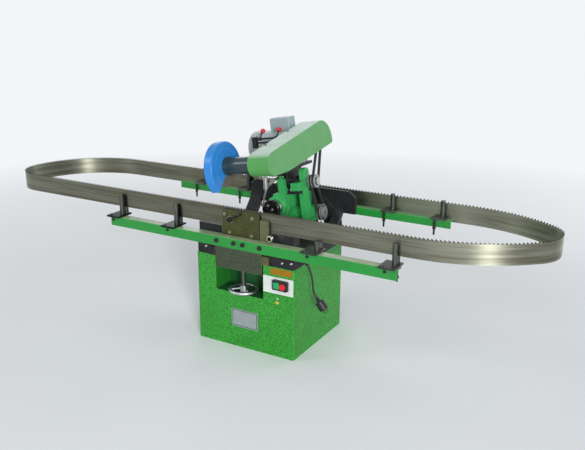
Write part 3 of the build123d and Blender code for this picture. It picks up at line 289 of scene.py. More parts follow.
def painted(name, colour, gloss, pebble, pebble_size=0.004, grime=0.3, wear=0.35, shine=0.4, marks=None):
    """Sprayed paint: hammered or smooth, uneven in tone, grimy in patches and rubbed at edges, where the
    paler colour is also a painted edge highlight.
    """
    material, tree, surface = shader(name)
    spot = place(tree)
    if pebble > SMOOTH_PEBBLE:
        grain = cells(tree, spot, pebble_size)
    else:
        grain = noise(tree, spot, 1 / pebble_size, detail=2.0)
    light = shade(colour, 1 + pebble)
    dark = shade(colour, 1 - pebble)
    tone = ramp(tree, grain, (0.12, light), (0.4, colour), (0.65, dark))
    cloud = mask(tree, noise(tree, spot, PAINT_CLOUDS, detail=5.0), start=0.35, end=0.7, most=0.35)
    clouded = over(tree, cloud, tone, shade(colour, CLOUD_TONE))
    patches = noise(tree, spot, PAINT_STAINS, detail=8.0, roughness=0.7)
    stain = mask(tree, patches, start=0.52, end=0.8, most=grime)
    dirty = over(tree, stain, clouded, shade(colour, STAIN_TONE))
    # paler edge colour: rubbed-through paint and a painted edge highlight
    primer_and_sheen = tuple(PRIMER_AND_SHEEN_SHARE * c + PRIMER_AND_SHEEN_PALE for c in colour)
    rubbed = over(tree, rims(tree, PAINT_RIM, wear), dirty, primer_and_sheen)
    tree.links.new(marks(tree, rubbed) if marks else rubbed, surface.inputs["Base Color"])
    haze = noise(tree, spot, PAINT_HAZE, detail=3.0)
    tree.links.new(span(tree, haze, low=gloss - 0.02, high=gloss + 0.05), surface.inputs["Roughness"])
    surface.inputs["Specular IOR Level"].default_value = shine
    dents(tree, surface, grain, strength=0.05 + 0.6 * pebble, depth=PAINT_RELIEF)
    return material


METAL_STAINS = 7.0
METAL_RIM = 0.0025
METAL_RELIEF = 0.0003
POLISHED_AND_SHEEN = (0.62, 0.62, 0.58)


def metal(name, colour, roughness, stretch, stain, stained, bright, scale=60.0, marks=None):
    """Bare metal with drawn or ground lines, thin stains and edges polished by use and painted bright as an
    edge highlight.
    """
    material, tree, surface = shader(name)
    lines = noise(tree, place(tree, stretch), scale, detail=6.0, roughness=0.65)
    tone = mottled(tree, lines, colour, dark=0.7, light=1.22)
    patches = noise(tree, place(tree), METAL_STAINS, detail=8.0, roughness=0.68)
    dirty = over(tree, mask(tree, patches, start=0.5, end=0.75, most=stained), tone, stain)
    # bright edges: polish from use and a painted edge highlight
    edged = over(tree, rims(tree, METAL_RIM, bright), dirty, POLISHED_AND_SHEEN)
    tree.links.new(marks(tree, edged) if marks else edged, surface.inputs["Base Color"])
    rough = span(tree, lines, low=roughness - 0.08, high=roughness + 0.14)
    tree.links.new(rough, surface.inputs["Roughness"])
    surface.inputs["Metallic"].default_value = 1.0
    dents(tree, surface, lines, strength=0.12, depth=METAL_RELIEF)
    return material


# Blade: grain along the band, and stretches over which it turns darker or lighter begin and end, in metres
ROLLED_FINE = (0.3, 0.3, 28)
ROLLED_BROAD = (0.5, 0.5, 9)
BLADE_RELIEF = 0.0002
OIL_FILM = (0.115, 0.098, 0.062)
DARKER_STEEL = (0.05, 0.045, 0.03)
DARKER_LEFT = (-2.2, -0.3)
DARKER_RIGHT = (0.55, -0.1)
DARKER_MOST = 0.6
LIGHTER_LEFT = (0.3, 0.5)
LIGHTER_RIGHT = (1.0, 0.85)
LIGHTER_REAR = (0.25, 0.35)
LIGHTER_MOST = 0.45
LIGHTER_TONE = 1.6
TOOTH_DEPTH = 0.007
TOOTH_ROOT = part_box("saw_blade")[1][2] - TOOTH_DEPTH
TOOTH_FADE = 0.003
TOOTH_TONE = 0.12


def blade_face(name, colour):
    """Band of spring steel: rolled lengthwise lines, oil, darker from the left end to the middle, lighter
    on the rear run at the right, and darker ground teeth.
    """
    material, tree, surface = shader(name)
    fine = noise(tree, place(tree, ROLLED_FINE), scale=9.0, detail=6.0, roughness=0.7)
    broad = noise(tree, place(tree, ROLLED_BROAD), scale=5.0, detail=3.0, roughness=0.5)
    tone = ramp(tree, fine, (0.28, shade(colour, 0.55)), (0.5, colour), (0.74, shade(colour, 1.5)))
    oiled = over(tree, mask(tree, broad, start=0.42, end=0.68, most=0.65), tone, OIL_FILM)
    # darker from the left end to the middle, lighter on the rear run at the right
    darker_stretch = overlap(tree, along(tree, "X", *DARKER_LEFT), along(tree, "X", *DARKER_RIGHT))
    darkened = over(tree, faint(tree, darker_stretch, DARKER_MOST), oiled, DARKER_STEEL)
    lighter_stretch = overlap(tree, along(tree, "X", *LIGHTER_LEFT), along(tree, "X", *LIGHTER_RIGHT),
                    along(tree, "Y", *LIGHTER_REAR))
    lightened = over(tree, faint(tree, lighter_stretch, LIGHTER_MOST), darkened, shade(colour, LIGHTER_TONE))
    teeth = along(tree, "Z", TOOTH_ROOT, TOOTH_ROOT + TOOTH_FADE)
    tipped = over(tree, teeth, lightened, shade(colour, TOOTH_TONE))
    tree.links.new(tipped, surface.inputs["Base Color"])
    tree.links.new(span(tree, fine, low=0.4, high=0.55), surface.inputs["Roughness"])
    surface.inputs["Metallic"].default_value = 1.0
    surface.inputs["Anisotropic"].default_value = 0.9
    surface.inputs["Anisotropic Rotation"].default_value = 0.25
    dents(tree, surface, fine, strength=0.1, depth=BLADE_RELIEF)
    return material


CAST_CLOUDS = 26.0
CAST_DUST = 11.0
CAST_GRAIN = 420.0
CAST_RIM = 0.0025
CAST_RELIEF = 0.0005
CAST_WORN = (0.16, 0.16, 0.155)
CAST_RIM_TONE = 1.8
CAST_WEAR = 0.4


def cast(name, colour, roughness):
    """Rough casting with thin paint, a dusty bloom and rubbed patches and edges."""
    material, tree, surface = shader(name)
    spot = place(tree)
    tone = mottled(tree, noise(tree, spot, CAST_CLOUDS, detail=6.0), colour, dark=0.65, light=1.5)
    dust = noise(tree, spot, CAST_DUST, detail=9.0, roughness=0.7)
    dusty = over(tree, mask(tree, dust, start=0.58, end=0.8, most=0.3), tone, CAST_WORN)
    edged = over(tree, rims(tree, CAST_RIM, CAST_WEAR), dusty, shade(CAST_WORN, CAST_RIM_TONE))
    tree.links.new(edged, surface.inputs["Base Color"])
    grain = noise(tree, spot, CAST_GRAIN, detail=3.0)
    rough = span(tree, grain, low=roughness - 0.1, high=roughness + 0.15)
    tree.links.new(rough, surface.inputs["Roughness"])
    surface.inputs["Specular IOR Level"].default_value = 0.22
    dents(tree, surface, grain, strength=0.25, depth=CAST_RELIEF)
    return material


KEEPER_SPLIT = (-0.03, -0.02)
KEEPER_CLOUDS = 24.0
KEEPER_GRAIN = 380.0
KEEPER_RIM = 0.0025
KEEPER_WEAR = 0.4
KEEPER_WORN = (0.3, 0.29, 0.22)
KEEPER_RELIEF = 0.0004


def keeper_pair(name, left, right):
    """Two keepers in one finish each: black iron on the left, oily olive paint on the right."""
    material, tree, surface = shader(name)
    spot = place(tree)
    clouds = noise(tree, spot, KEEPER_CLOUDS, detail=6.0)
    dark = mottled(tree, clouds, left, dark=0.65, light=1.5)
    oily = mottled(tree, clouds, right, dark=0.7, light=1.25)
    both = over(tree, along(tree, "X", *KEEPER_SPLIT), dark, oily)
    edged = over(tree, rims(tree, KEEPER_RIM, KEEPER_WEAR), both, KEEPER_WORN)
    tree.links.new(edged, surface.inputs["Base Color"])
    grain = noise(tree, spot, KEEPER_GRAIN, detail=3.0)
    tree.links.new(span(tree, grain, low=0.32, high=0.55), surface.inputs["Roughness"])
    surface.inputs["Specular IOR Level"].default_value = 0.25
    dents(tree, surface, grain, strength=0.2, depth=KEEPER_RELIEF)
    return material


MOULD_CLOUDS = 30.0
MOULD_MARKS = 75.0
MOULD_GRAIN = 900.0
MOULD_RELIEF = 0.0002
MARK_TONE = 0.5


def moulded(name, colour, roughness):
    """Moulded plastic or rubber with fine grain and handling marks."""
    material, tree, surface = shader(name)
    spot = place(tree)
    tone = mottled(tree, noise(tree, spot, MOULD_CLOUDS), colour, dark=0.85, light=1.15)
    handled = noise(tree, spot, MOULD_MARKS, detail=7.0, roughness=0.7)
    marked = over(tree, mask(tree, handled, start=0.58, end=0.8, most=0.2), tone, shade(colour, MARK_TONE))
    tree.links.new(marked, surface.inputs["Base Color"])
    grain = noise(tree, spot, MOULD_GRAIN, detail=2.0)
    rough = span(tree, grain, low=roughness - 0.05, high=roughness + 0.08)
    tree.links.new(rough, surface.inputs["Roughness"])
    surface.inputs["Specular IOR Level"].default_value = 0.3
    dents(tree, surface, grain, strength=0.08, depth=MOULD_RELIEF)
    return material


GRIT_SIZE = 0.0012
GRIT_PALE = (0.2, 0.17, 0.14)
GRIT_BROWN = (0.11, 0.09, 0.07)
GRIT_BINDER = (0.05, 0.04, 0.035)
GRIT_RELIEF = 0.0008


def abrasive_face(name):
    """Bonded grit: coarse coloured grains in a dull binder."""
    material, tree, surface = shader(name)
    grains = cells(tree, place(tree), GRIT_SIZE)
    tone = ramp(tree, grains, (0.15, GRIT_PALE), (0.5, GRIT_BROWN), (0.9, GRIT_BINDER))
    tree.links.new(tone, surface.inputs["Base Color"])
    tree.links.new(span(tree, grains, low=0.75, high=0.98), surface.inputs["Roughness"])
    dents(tree, surface, grains, strength=0.6, depth=GRIT_RELIEF)
    return material


# Crank disc: its bolt heads show bright over this height, in metres
CRANK_BOLTS = 0.0042
CRANK_FADE = 0.0003
CRANK_CLOUDS = 40.0
CRANK_HAZE = 90.0
CRANK_GRAIN = 500.0
CRANK_RIM = 0.003
CRANK_WEAR = 0.9
CRANK_RELIEF = 0.0003
CRANK_DARK = (0.012, 0.012, 0.012)
CRANK_PALE = (0.03, 0.03, 0.029)
CRANK_POLISHED_AND_SHEEN = (0.5, 0.5, 0.48)
CRANK_BOLT_STEEL = (0.66, 0.66, 0.63)


def crank_face(name):
    """Oiled black disc with a rim polished by use and painted bright as a highlight, and bright bolts
    standing in front of it.
    """
    material, tree, surface = shader(name)
    spot = place(tree)
    clouds = noise(tree, spot, CRANK_CLOUDS, detail=6.0)
    tone = ramp(tree, clouds, (NOISE_LOW, CRANK_DARK), (NOISE_HIGH, CRANK_PALE))
    # bright rim: polish from use and a painted highlight
    rimmed = over(tree, rims(tree, CRANK_RIM, CRANK_WEAR), tone, CRANK_POLISHED_AND_SHEEN)
    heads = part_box("crank_disc")[0][1] + CRANK_BOLTS
    bolted = over(tree, along(tree, "Y", heads, heads - CRANK_FADE), rimmed, CRANK_BOLT_STEEL)
    tree.links.new(bolted, surface.inputs["Base Color"])
    haze = noise(tree, spot, CRANK_HAZE)
    tree.links.new(span(tree, haze, low=0.28, high=0.42), surface.inputs["Roughness"])
    surface.inputs["Metallic"].default_value = 0.8
    dents(tree, surface, noise(tree, spot, CRANK_GRAIN, detail=3.0), strength=0.1, depth=CRANK_RELIEF)
    return material


# Colours that more than one finish uses
BLACK = (0.012, 0.013, 0.014)
RAIL_GREEN = (0.016, 0.25, 0.036)
GEARBOX_GREEN = (0.045, 0.42, 0.11)
PULLEY_GRAY = (0.26, 0.27, 0.27)
SUPPORT_STEEL = (0.11, 0.118, 0.108)


# Marks: places on a piece where its finish changes, in metres

RECESS_LOW = (-0.1665, -0.2535, 0.28)
RECESS_HIGH = (0.1105, -0.12, 0.46)
# Painted shade: darker green for the inside of the recess
RECESS_SHADE_GREEN = (0.009, 0.085, 0.02)


def recess_shade(tree, tone):
    """Painted shade inside the recess of the cabinet."""
    return over(tree, boxed(tree, RECESS_LOW, RECESS_HIGH), tone, RECESS_SHADE_GREEN)


# Rails: a pale painted highlight on the upper faces begins and is full at these depths below the top
RAIL_TOP_HIGHLIGHT = (0.36, 0.4, 0.27)
RAIL_HIGHLIGHT_PATCHES = 30.0
RAIL_HIGHLIGHT_FROM = 0.0012
RAIL_HIGHLIGHT_FULL = 0.0004


def highlighted_top(node, most):
    """Painted highlight on the upper faces of a rail, pale in patches."""
    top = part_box(node)[1][2]

    def marks(tree, tone):
        highlight_patches = span(tree, noise(tree, place(tree), RAIL_HIGHLIGHT_PATCHES, detail=5.0), most / 2, most)
        upper = along(tree, "Z", top - RAIL_HIGHLIGHT_FROM, top - RAIL_HIGHLIGHT_FULL)
        # pale painted highlight over the upper faces
        return over(tree, combine(tree, "MULTIPLY", upper, highlight_patches), tone, RAIL_TOP_HIGHLIGHT)
    return marks


# Supports: thickness of a foot plate, heights above it where its black ends and is full, and fade sideways
FOOT_PLATE = 0.008
FOOT_CLEAR = 0.0006
FOOT_FULL = 0.0002
FOOT_FADE = 0.1
FOOT_LEAST = 0.5


def dark_feet(node, reach):
    """Foot plates of the supports, black to the left of a place and half black beyond it."""
    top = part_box(node)[0][2] + FOOT_PLATE

    def marks(tree, tone):
        left = span(tree, along(tree, "X", reach, reach - FOOT_FADE), FOOT_LEAST, 1.0, start=0.0, end=1.0)
        plates = along(tree, "Z", top + FOOT_CLEAR, top + FOOT_FULL)
        return over(tree, overlap(tree, plates, left), tone, BLACK)
    return marks


# Guard: each ring of painted highlight is an inner radius, an outer radius and how pale it is
GUARD_AXIS = head_point(0, -0.006, -0.002)
GUARD_RINGS = [(0.088, 0.093, 0.3), (0.058, 0.062, 0.22)]
GUARD_SOFT = 0.002
GUARD_RING_HIGHLIGHT = (0.2, 0.42, 0.72)


def guard_ring_highlights(tree, tone):
    """Painted highlights in rings on the guard's face, where pressed rings catch the light."""
    reach = radius_from(tree, GUARD_AXIS, HEAD_ALONG)
    for inner, outer, most in GUARD_RINGS:
        # painted highlight along each ring
        ring = band(tree, reach, inner, outer, GUARD_SOFT)
        tone = over(tree, faint(tree, ring, most), tone, GUARD_RING_HIGHLIGHT)
    return tone


COVER_GREEN = (0.104, 0.317, 0.108)
# Painted shade on the forward-facing front of the cover and a painted highlight on its top
NOSE_SHADE_GREEN = (0.04, 0.24, 0.035)
NOSE_SHADE_MOST = 0.5
COVER_TOP_HIGHLIGHT = (0.5, 0.6, 0.55)
COVER_HIGHLIGHT_PATCHES = 9.0


def cover_shade_and_highlight(tree, tone):
    """Painted shade on the bent front of the cover where it faces forward, and a painted highlight in pale
    patches on its top.
    """
    # painted shade on faces that turn forward
    front_shade = mask(tree, facing(tree, FRONT), start=0.2, end=0.8, most=NOSE_SHADE_MOST)
    shaded_front = over(tree, front_shade, tone, NOSE_SHADE_GREEN)
    # painted highlight, pale in patches, on faces that turn upward
    highlight_patches = span(tree, noise(tree, place(tree), COVER_HIGHLIGHT_PATCHES, detail=5.0), low=0.6, high=0.95)
    upper = mask(tree, facing(tree, UPWARD), start=0.6, end=0.9)
    return over(tree, combine(tree, "MULTIPLY", upper, highlight_patches), shaded_front, COVER_TOP_HIGHLIGHT)


# Pulleys: each ring of painted shade is an inner and an outer radius
PIVOT_AXIS = head_point(0, 0.388, -0.16)
COUNTER_RINGS = [(0.0, 0.008), (0.017, 0.022)]
GEAR_AXIS = head_point(0, 0.448, -0.339)
GEAR_RINGS = [(0.0, 0.006), (0.031, 0.038)]
PULLEY_SOFT = 0.001
PULLEY_RING_SHADE = (0.016, 0.016, 0.015)


def pulley_shade_rings(axis, rings):
    """Painted shade in the middle and in one ring of a turned pulley."""
    def marks(tree, tone):
        reach = radius_from(tree, axis, HEAD_ALONG)
        for inner, outer in rings:
            # painted shade in each ring
            tone = over(tree, band(tree, reach, inner, outer, PULLEY_SOFT), tone, PULLEY_RING_SHADE)
        return tone
    return marks


# Gearbox barrel: radii of its rings and the places where they start
BARREL_AXIS = head_point(0.048, 0, -0.276)
BARREL_RADII = (0.05, 0.062)
BARREL_RINGS = (0.142, 0.196)
BARREL_RING_WIDTH = 0.006
BARREL_SOFT = 0.001
BARREL_RING_HIGHLIGHT = (0.13, 0.5, 0.16)


def barrel_ring_highlights(tree, tone):
    """Painted highlights on the raised rings of the gearbox barrel."""
    reach = band(tree, radius_from(tree, BARREL_AXIS, REARWARD), *BARREL_RADII, BARREL_SOFT)
    depth = coordinate(tree, "Y")
    for start in BARREL_RINGS:
        ring = band(tree, depth, start, start + BARREL_RING_WIDTH, BARREL_SOFT)
        # painted highlight on each raised ring
        tone = over(tree, combine(tree, "MULTIPLY", ring, reach), tone, BARREL_RING_HIGHLIGHT)
    return tone


# Vise plate: its bolt heads show bright over this height
VISE_BOLTS = 0.0055
VISE_FADE = 0.0006
VISE_BOLT_STEEL = (0.26, 0.25, 0.2)


def vise_bolts(tree, tone):
    """Bright heads of the bolts that stand in front of the vise plate."""
    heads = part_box("vise_plate")[0][1] + VISE_BOLTS
    return over(tree, along(tree, "Y", heads, heads - VISE_FADE), tone, VISE_BOLT_STEEL)


# Name plate: insets of the outer and the inner edge of its line
PLATE_LINE = (0.004, 0.007)
PLATE_LINE_GRAY = (0.05, 0.052, 0.055)


def plate_frame(tree, tone):
    """Dark line round the bare name plate, through its whole depth."""
    low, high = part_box("name_plate")
    areas = []
    for inset in PLATE_LINE:
        areas.append(boxed(tree, (low[0] + inset, low[1] - inset, low[2] + inset),
                           (high[0] - inset, high[1] + inset, high[2] - inset)))
    return over(tree, combine(tree, "SUBTRACT", *areas), tone, PLATE_LINE_GRAY)


# Vise knob: radii where its rim begins and is full
KNOB_RIM = (0.0095, 0.0105)
KNOB_STEEL_AND_SHEEN = (0.55, 0.53, 0.42)


def knob_ring(tree, tone):
    """Pale rim of the vise knob: polished steel and a painted highlight."""
    low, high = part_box("vise_knob")
    middle = ((low[0] + high[0]) / 2, 0, (low[2] + high[2]) / 2)
    reach = radius_from(tree, middle, REARWARD)
    # pale rim: polished steel and a painted highlight
    return over(tree, mask(tree, reach, *KNOB_RIM), tone, KNOB_STEEL_AND_SHEEN)


# Finishes of the slots
FINISHES = {
    "cabinet_green": painted("cabinet_green", (0.026, 0.285, 0.024), gloss=0.4, pebble=0.45,
                             pebble_size=0.0065, marks=recess_shade),
    "cover_green": painted("cover_green", COVER_GREEN, gloss=0.52, pebble=0.06, grime=0.12, wear=0.3,
                           shine=0.35, marks=cover_shade_and_highlight),
    "guard_blue": painted("guard_blue", (0.02, 0.2, 0.56), gloss=0.3, pebble=0.06, grime=0.2,
                          marks=guard_ring_highlights),
    "motor_gray": painted("motor_gray", (0.36, 0.41, 0.42), gloss=0.36, pebble=0.12, pebble_size=0.003,
                          grime=0.35),
    "black_iron": cast("black_iron", BLACK, roughness=0.45),
    "slide_gray": metal("slide_gray", (0.092, 0.118, 0.076), roughness=0.42, stretch=(1, 1, 6), scale=40.0,
                        stain=(0.045, 0.042, 0.024), stained=0.6, bright=0.5),
    "steel": metal("steel", (0.5, 0.5, 0.48), roughness=0.32, stretch=(5, 5, 1),
                   stain=(0.16, 0.14, 0.11), stained=0.35, bright=0.4),
    "blade_steel": blade_face("blade_steel", (0.262, 0.269, 0.21)),
    # vise plate: its bright edges are wear and a painted highlight along them
    "vise_brown": metal("vise_brown", (0.094, 0.102, 0.042), roughness=0.45, stretch=(1, 6, 3), scale=50.0,
                        stain=(0.04, 0.03, 0.012), stained=0.6, bright=0.8, marks=vise_bolts),
    "olive": painted("olive", (0.1, 0.105, 0.045), gloss=0.38, pebble=0.12, pebble_size=0.003, grime=0.4,
                     wear=0.5),
    "plate_white": painted("plate_white", (0.62, 0.66, 0.63), gloss=0.36, pebble=0.05, pebble_size=0.002,
                           grime=0.1, wear=0.2),
    "bare_aluminium": metal("bare_aluminium", (0.46, 0.5, 0.52), roughness=0.4, stretch=(1, 1, 14),
                            stain=(0.26, 0.27, 0.28), stained=0.3, bright=0.0, marks=plate_frame),
    "black_plastic": moulded("black_plastic", (0.014, 0.015, 0.016), roughness=0.36),
    "green_plastic": moulded("green_plastic", (0.01, 0.3, 0.1), roughness=0.25),
    "red_plastic": moulded("red_plastic", (0.52, 0.02, 0.018), roughness=0.22),
    "belt_rubber": moulded("belt_rubber", (0.03, 0.031, 0.033), roughness=0.55),
    "abrasive": abrasive_face("abrasive"),
    "cord_rubber": moulded("cord_rubber", (0.012, 0.013, 0.014), roughness=0.45),
}


def rail_paint(name, node, most):
    """Glossy green of the rails, with a painted highlight on the upper faces."""
    return painted(name, RAIL_GREEN, gloss=0.28, pebble=0.08, grime=0.25, wear=0.4,
                   marks=highlighted_top(node, most))


def support_steel(name, node, reach):
    """Ground steel of the blade supports on dark feet."""
    return metal(name, SUPPORT_STEEL, roughness=0.36, stretch=(7, 7, 1), stain=BLACK, stained=0.5,
                 bright=0.9, marks=dark_feet(node, reach))


def gearbox_paint(name, marks=None):
    """Bright green of the gearbox and its bracket."""
    return painted(name, GEARBOX_GREEN, gloss=0.3, pebble=0.12, pebble_size=0.005, grime=0.35, wear=0.5,
                   marks=marks)


def pulley_paint(name, axis, rings):
    """Gray of a turned pulley with rings of painted shade."""
    return painted(name, PULLEY_GRAY, gloss=0.34, pebble=0.1, pebble_size=0.003, grime=0.4, wear=0.5,
                   marks=pulley_shade_rings(axis, rings))


# Nodes whose finish differs from the rest of their slot
FRONT_RAIL = rail_paint("front_rail", "front_rail_left", most=0.95)
REAR_RAIL = rail_paint("rear_rail", "rear_rail_left", most=0.5)
VARIANTS = {
    "front_rail_left": FRONT_RAIL,
    "front_rail_right": FRONT_RAIL,
    "rear_rail_left": REAR_RAIL,
    "rear_rail_right": REAR_RAIL,
    "gearbox": gearbox_paint("gearbox_green", barrel_ring_highlights),
    "feed_bracket": gearbox_paint("bracket_green"),
    "spindle_housing": painted("housing_gray", (0.02, 0.043, 0.048), gloss=0.24, pebble=0.1,
                               pebble_size=0.003, grime=0.2, wear=0.5),
    "terminal_box": painted("box_gray", (0.27, 0.34, 0.355), gloss=0.34, pebble=0.1, pebble_size=0.003,
                            grime=0.2, wear=0.5),
    "keepers": keeper_pair("keeper_pair", left=BLACK, right=(0.085, 0.085, 0.034)),
    "handwheel": metal("rim_steel", (0.5, 0.52, 0.52), roughness=0.36, stretch=(3, 3, 3), scale=30.0,
                       stain=(0.25, 0.25, 0.24), stained=0.3, bright=0.3),
    "lead_screw": metal("screw_steel", (0.13, 0.13, 0.12), roughness=0.36, stretch=(1, 1, 9),
                        stain=(0.05, 0.045, 0.035), stained=0.5, bright=0.3),
    "vise_lever": metal("lever_steel", (0.035, 0.035, 0.034), roughness=0.3, stretch=(6, 2, 2), scale=40.0,
                        stain=BLACK, stained=0.5, bright=0.5),
    "front_supports": support_steel("front_support", "front_supports", reach=0.0),
    "rear_supports": support_steel("rear_support", "rear_supports", reach=2.0),
    "counter_pulley": pulley_paint("counter_gray", PIVOT_AXIS, COUNTER_RINGS),
    "gear_pulley": pulley_paint("gear_gray", GEAR_AXIS, GEAR_RINGS),
    "vise_knob": metal("knob_rim", BLACK, roughness=0.3, stretch=(2, 2, 2), scale=40.0,
                       stain=BLACK, stained=0.3, bright=0.3, marks=knob_ring),
    "crank_disc": crank_face("crank_face"),
}

for subpart in frame["record"]["subparts"]:
    node = nodes[subpart["node"]]
    node.data.materials.clear()
    node.data.materials.append(VARIANTS.get(subpart["node"], FINISHES[subpart["material_slot"]]))


# Pieces that only show in the looks


def dress(piece, body, slot, finish=None):
    """Piece rides on a body and takes the finish of a slot, or its own."""
    piece.data.materials.clear()
    piece.data.materials.append(finish or FINISHES[slot])
    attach(piece, body)


def solid(name, shape):
    """New mesh piece from a bmesh."""
    mesh = bpy.data.meshes.new(name)
    bmesh.ops.recalc_face_normals(shape, faces=shape.faces)
    shape.to_mesh(mesh)
    shape.free()
    piece = bpy.data.objects.new(name, mesh)
    bpy.context.scene.collection.objects.link(piece)
    return piece


def stand(spot, normal):
    """Matrix that puts a shape's base on a spot, facing along a normal."""
    face = Vector(normal).normalized()
    side = Vector(UPWARD).cross(face).normalized()
    turn = Matrix((side, face.cross(side), face)).transposed().to_4x4()
    return Matrix.Translation(Vector(spot)) @ turn


def add_prism(shape, outline, low, high, matrix, chamfer):
    """Prism with chamfered top edges, added to a shape."""
    inset = [Vector(p) for p in outline]
    middle = sum(inset, Vector((0, 0))) / len(inset)
    crown = [middle + (p - middle) * (1 - chamfer / max((p - middle).length, chamfer)) for p in inset]
    layers = [(inset, low), (inset, high - chamfer), (crown, high)]
    rows = [[shape.verts.new(matrix @ Vector((p.x, p.y, z))) for p in points] for points, z in layers]
    shape.faces.new(rows[0])
    shape.faces.new(rows[-1])
    for lower, upper in zip(rows, rows[1:]):
        for i in range(len(lower)):
            j = (i + 1) % len(lower)
            shape.faces.new((lower[i], lower[j], upper[j], upper[i]))


def circle(radius, sides, start=0.0, sweep=360.0):
    """Points round a circle, or round a part of it, in degrees."""
    closed = sweep == 360.0
    count = sides if closed else sides + 1
    angles = [math.radians(start + sweep * i / sides) for i in range(count)]
    return [(radius * math.cos(a), radius * math.sin(a)) for a in angles]


CORNER_SIDES = 6


def rounded(width, height, corner):
    """Outline of a rectangle with rounded corners."""
    points = []
    for turn, (sx, sy) in enumerate(((1, 1), (-1, 1), (-1, -1), (1, -1))):
        middle = (sx * (width / 2 - corner), sy * (height / 2 - corner))
        points += [(middle[0] + x, middle[1] + y) for x, y in circle(corner, CORNER_SIDES, 90 * turn, 90)]
    return points


# Bolts: radius of the washer as a share of the flats, other sizes in metres
WASHER_SHARE = 0.75
WASHER_SIDES = 32
WASHER_THICK = 0.0014
WASHER_CHAMFER = 0.0004
HEX_CHAMFER = 0.0008


def hex_bolt(shape, matrix, flats, height):
    """Hexagon head on a round washer."""
    washer = circle(flats * WASHER_SHARE, WASHER_SIDES)
    add_prism(shape, washer, 0.0, WASHER_THICK, matrix, WASHER_CHAMFER)
    hexagon = circle(flats / math.sqrt(3), 6)
    add_prism(shape, hexagon, WASHER_THICK, WASHER_THICK + height, matrix, HEX_CHAMFER)


# Slotted screws: the slot's floor as a share of the height and half its opening in degrees
SLOT_FLOOR = 0.45
SLOT_HALF_ANGLE = 14
HALF_SIDES = 14
HALF_SHARE = 0.97
BASE_CHAMFER = 0.0002
HALF_CHAMFER = 0.0005


def slot_screw(shape, matrix, radius, height):
    """Low cheese head with a slot between its two halves."""
    floor = height * SLOT_FLOOR
    add_prism(shape, circle(radius, 2 * HALF_SIDES), 0.0, floor, matrix, BASE_CHAMFER)
    for side in (0, 180):
        half = circle(radius * HALF_SHARE, HALF_SIDES, side + SLOT_HALF_ANGLE, 180 - 2 * SLOT_HALF_ANGLE)
        add_prism(shape, half, floor, height, matrix, HALF_CHAMFER)


CABINET_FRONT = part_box("cabinet")[0][1]


def on_cabinet(x, z):
    """Matrix that puts a shape's base on the front of the cabinet."""
    return stand((x, CABINET_FRONT, z), FRONT)


# Bolts in the bed, each at its x and z
BED_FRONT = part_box("bed")[0][1]
BED_BOLTS = [(-0.2262, 0.5), (0.2123, 0.488), (0.2615, 0.4944)]
BED_BOLT_FLATS = 0.0075
BED_BOLT_HEIGHT = 0.005


def make_bed_bolts():
    """Bright bolts in the front of the bed."""
    shape = bmesh.new()
    for x, z in BED_BOLTS:
        hex_bolt(shape, stand((x, BED_FRONT, z), FRONT), BED_BOLT_FLATS, BED_BOLT_HEIGHT)
    dress(solid("bed_bolts", shape), "base", "steel")


# Screws in the cover, each at its x and y in the head frame
COVER_RISE = math.radians(9.27)
NOSE_RADIUS = 0.057
COVER_SCREWS = [(0.164, 0.108), (0.166, 0.326)]
COVER_SCREW_RADIUS = 0.0065
COVER_SCREW_HEIGHT = 0.003


def make_cover_screws():
    """Slotted screws in the sloping top of the belt cover."""
    shape = bmesh.new()
    slope = Vector((0, math.cos(COVER_RISE), 0)) + HEAD_UP * math.sin(COVER_RISE)
    normal = HEAD_ALONG.cross(slope)
    for x, y in COVER_SCREWS:
        top = NOSE_RADIUS / math.cos(COVER_RISE) + y * math.tan(COVER_RISE)
        matrix = stand(head_point(x, y, top), normal)
        slot_screw(shape, matrix, COVER_SCREW_RADIUS, COVER_SCREW_HEIGHT)
    dress(solid("cover_screws", shape), "head", "black_iron")


# Strip on the cabinet and its rivets
STRIP_MIDDLE = (0.2105, 0.443)
STRIP_SIZE = (0.117, 0.032)
STRIP_CORNER = 0.003
STRIP_THICK = 0.0012
STRIP_CHAMFER = 0.0003
RIVET_INSET = 0.006
RIVET_RADIUS = 0.0025
RIVET_SIDES = 20
RIVET_HEIGHT = 0.0012
RIVET_CHAMFER = 0.0006


def make_strip():
    """Bare orange strip riveted above the switch."""
    shape = bmesh.new()
    matrix = on_cabinet(*STRIP_MIDDLE)
    add_prism(shape, rounded(*STRIP_SIZE, STRIP_CORNER), 0.0, STRIP_THICK, matrix, STRIP_CHAMFER)
    for side in (-1, 1):
        rivet = matrix @ Matrix.Translation((side * (STRIP_SIZE[0] / 2 - RIVET_INSET), 0, STRIP_THICK))
        add_prism(shape, circle(RIVET_RADIUS, RIVET_SIDES), 0.0, RIVET_HEIGHT, rivet, RIVET_CHAMFER)
    finish = painted("strip_orange", (0.3, 0.15, 0.006), gloss=0.45, pebble=0.15, pebble_size=0.005,
                     grime=0.6, wear=0.4, shine=0.2)
    dress(solid("orange_strip", shape), "base", "olive", finish)


# Earth point on the cabinet
EARTH_SCREW = (0.19, 0.3055)
EARTH_FLATS = 0.008
EARTH_HEIGHT = 0.005
EARTH_TAG = (0.1885, 0.285)
TAG_SIZE = (0.017, 0.013)
TAG_CORNER = 0.002
TAG_THICK = 0.0008
TAG_CHAMFER = 0.0002


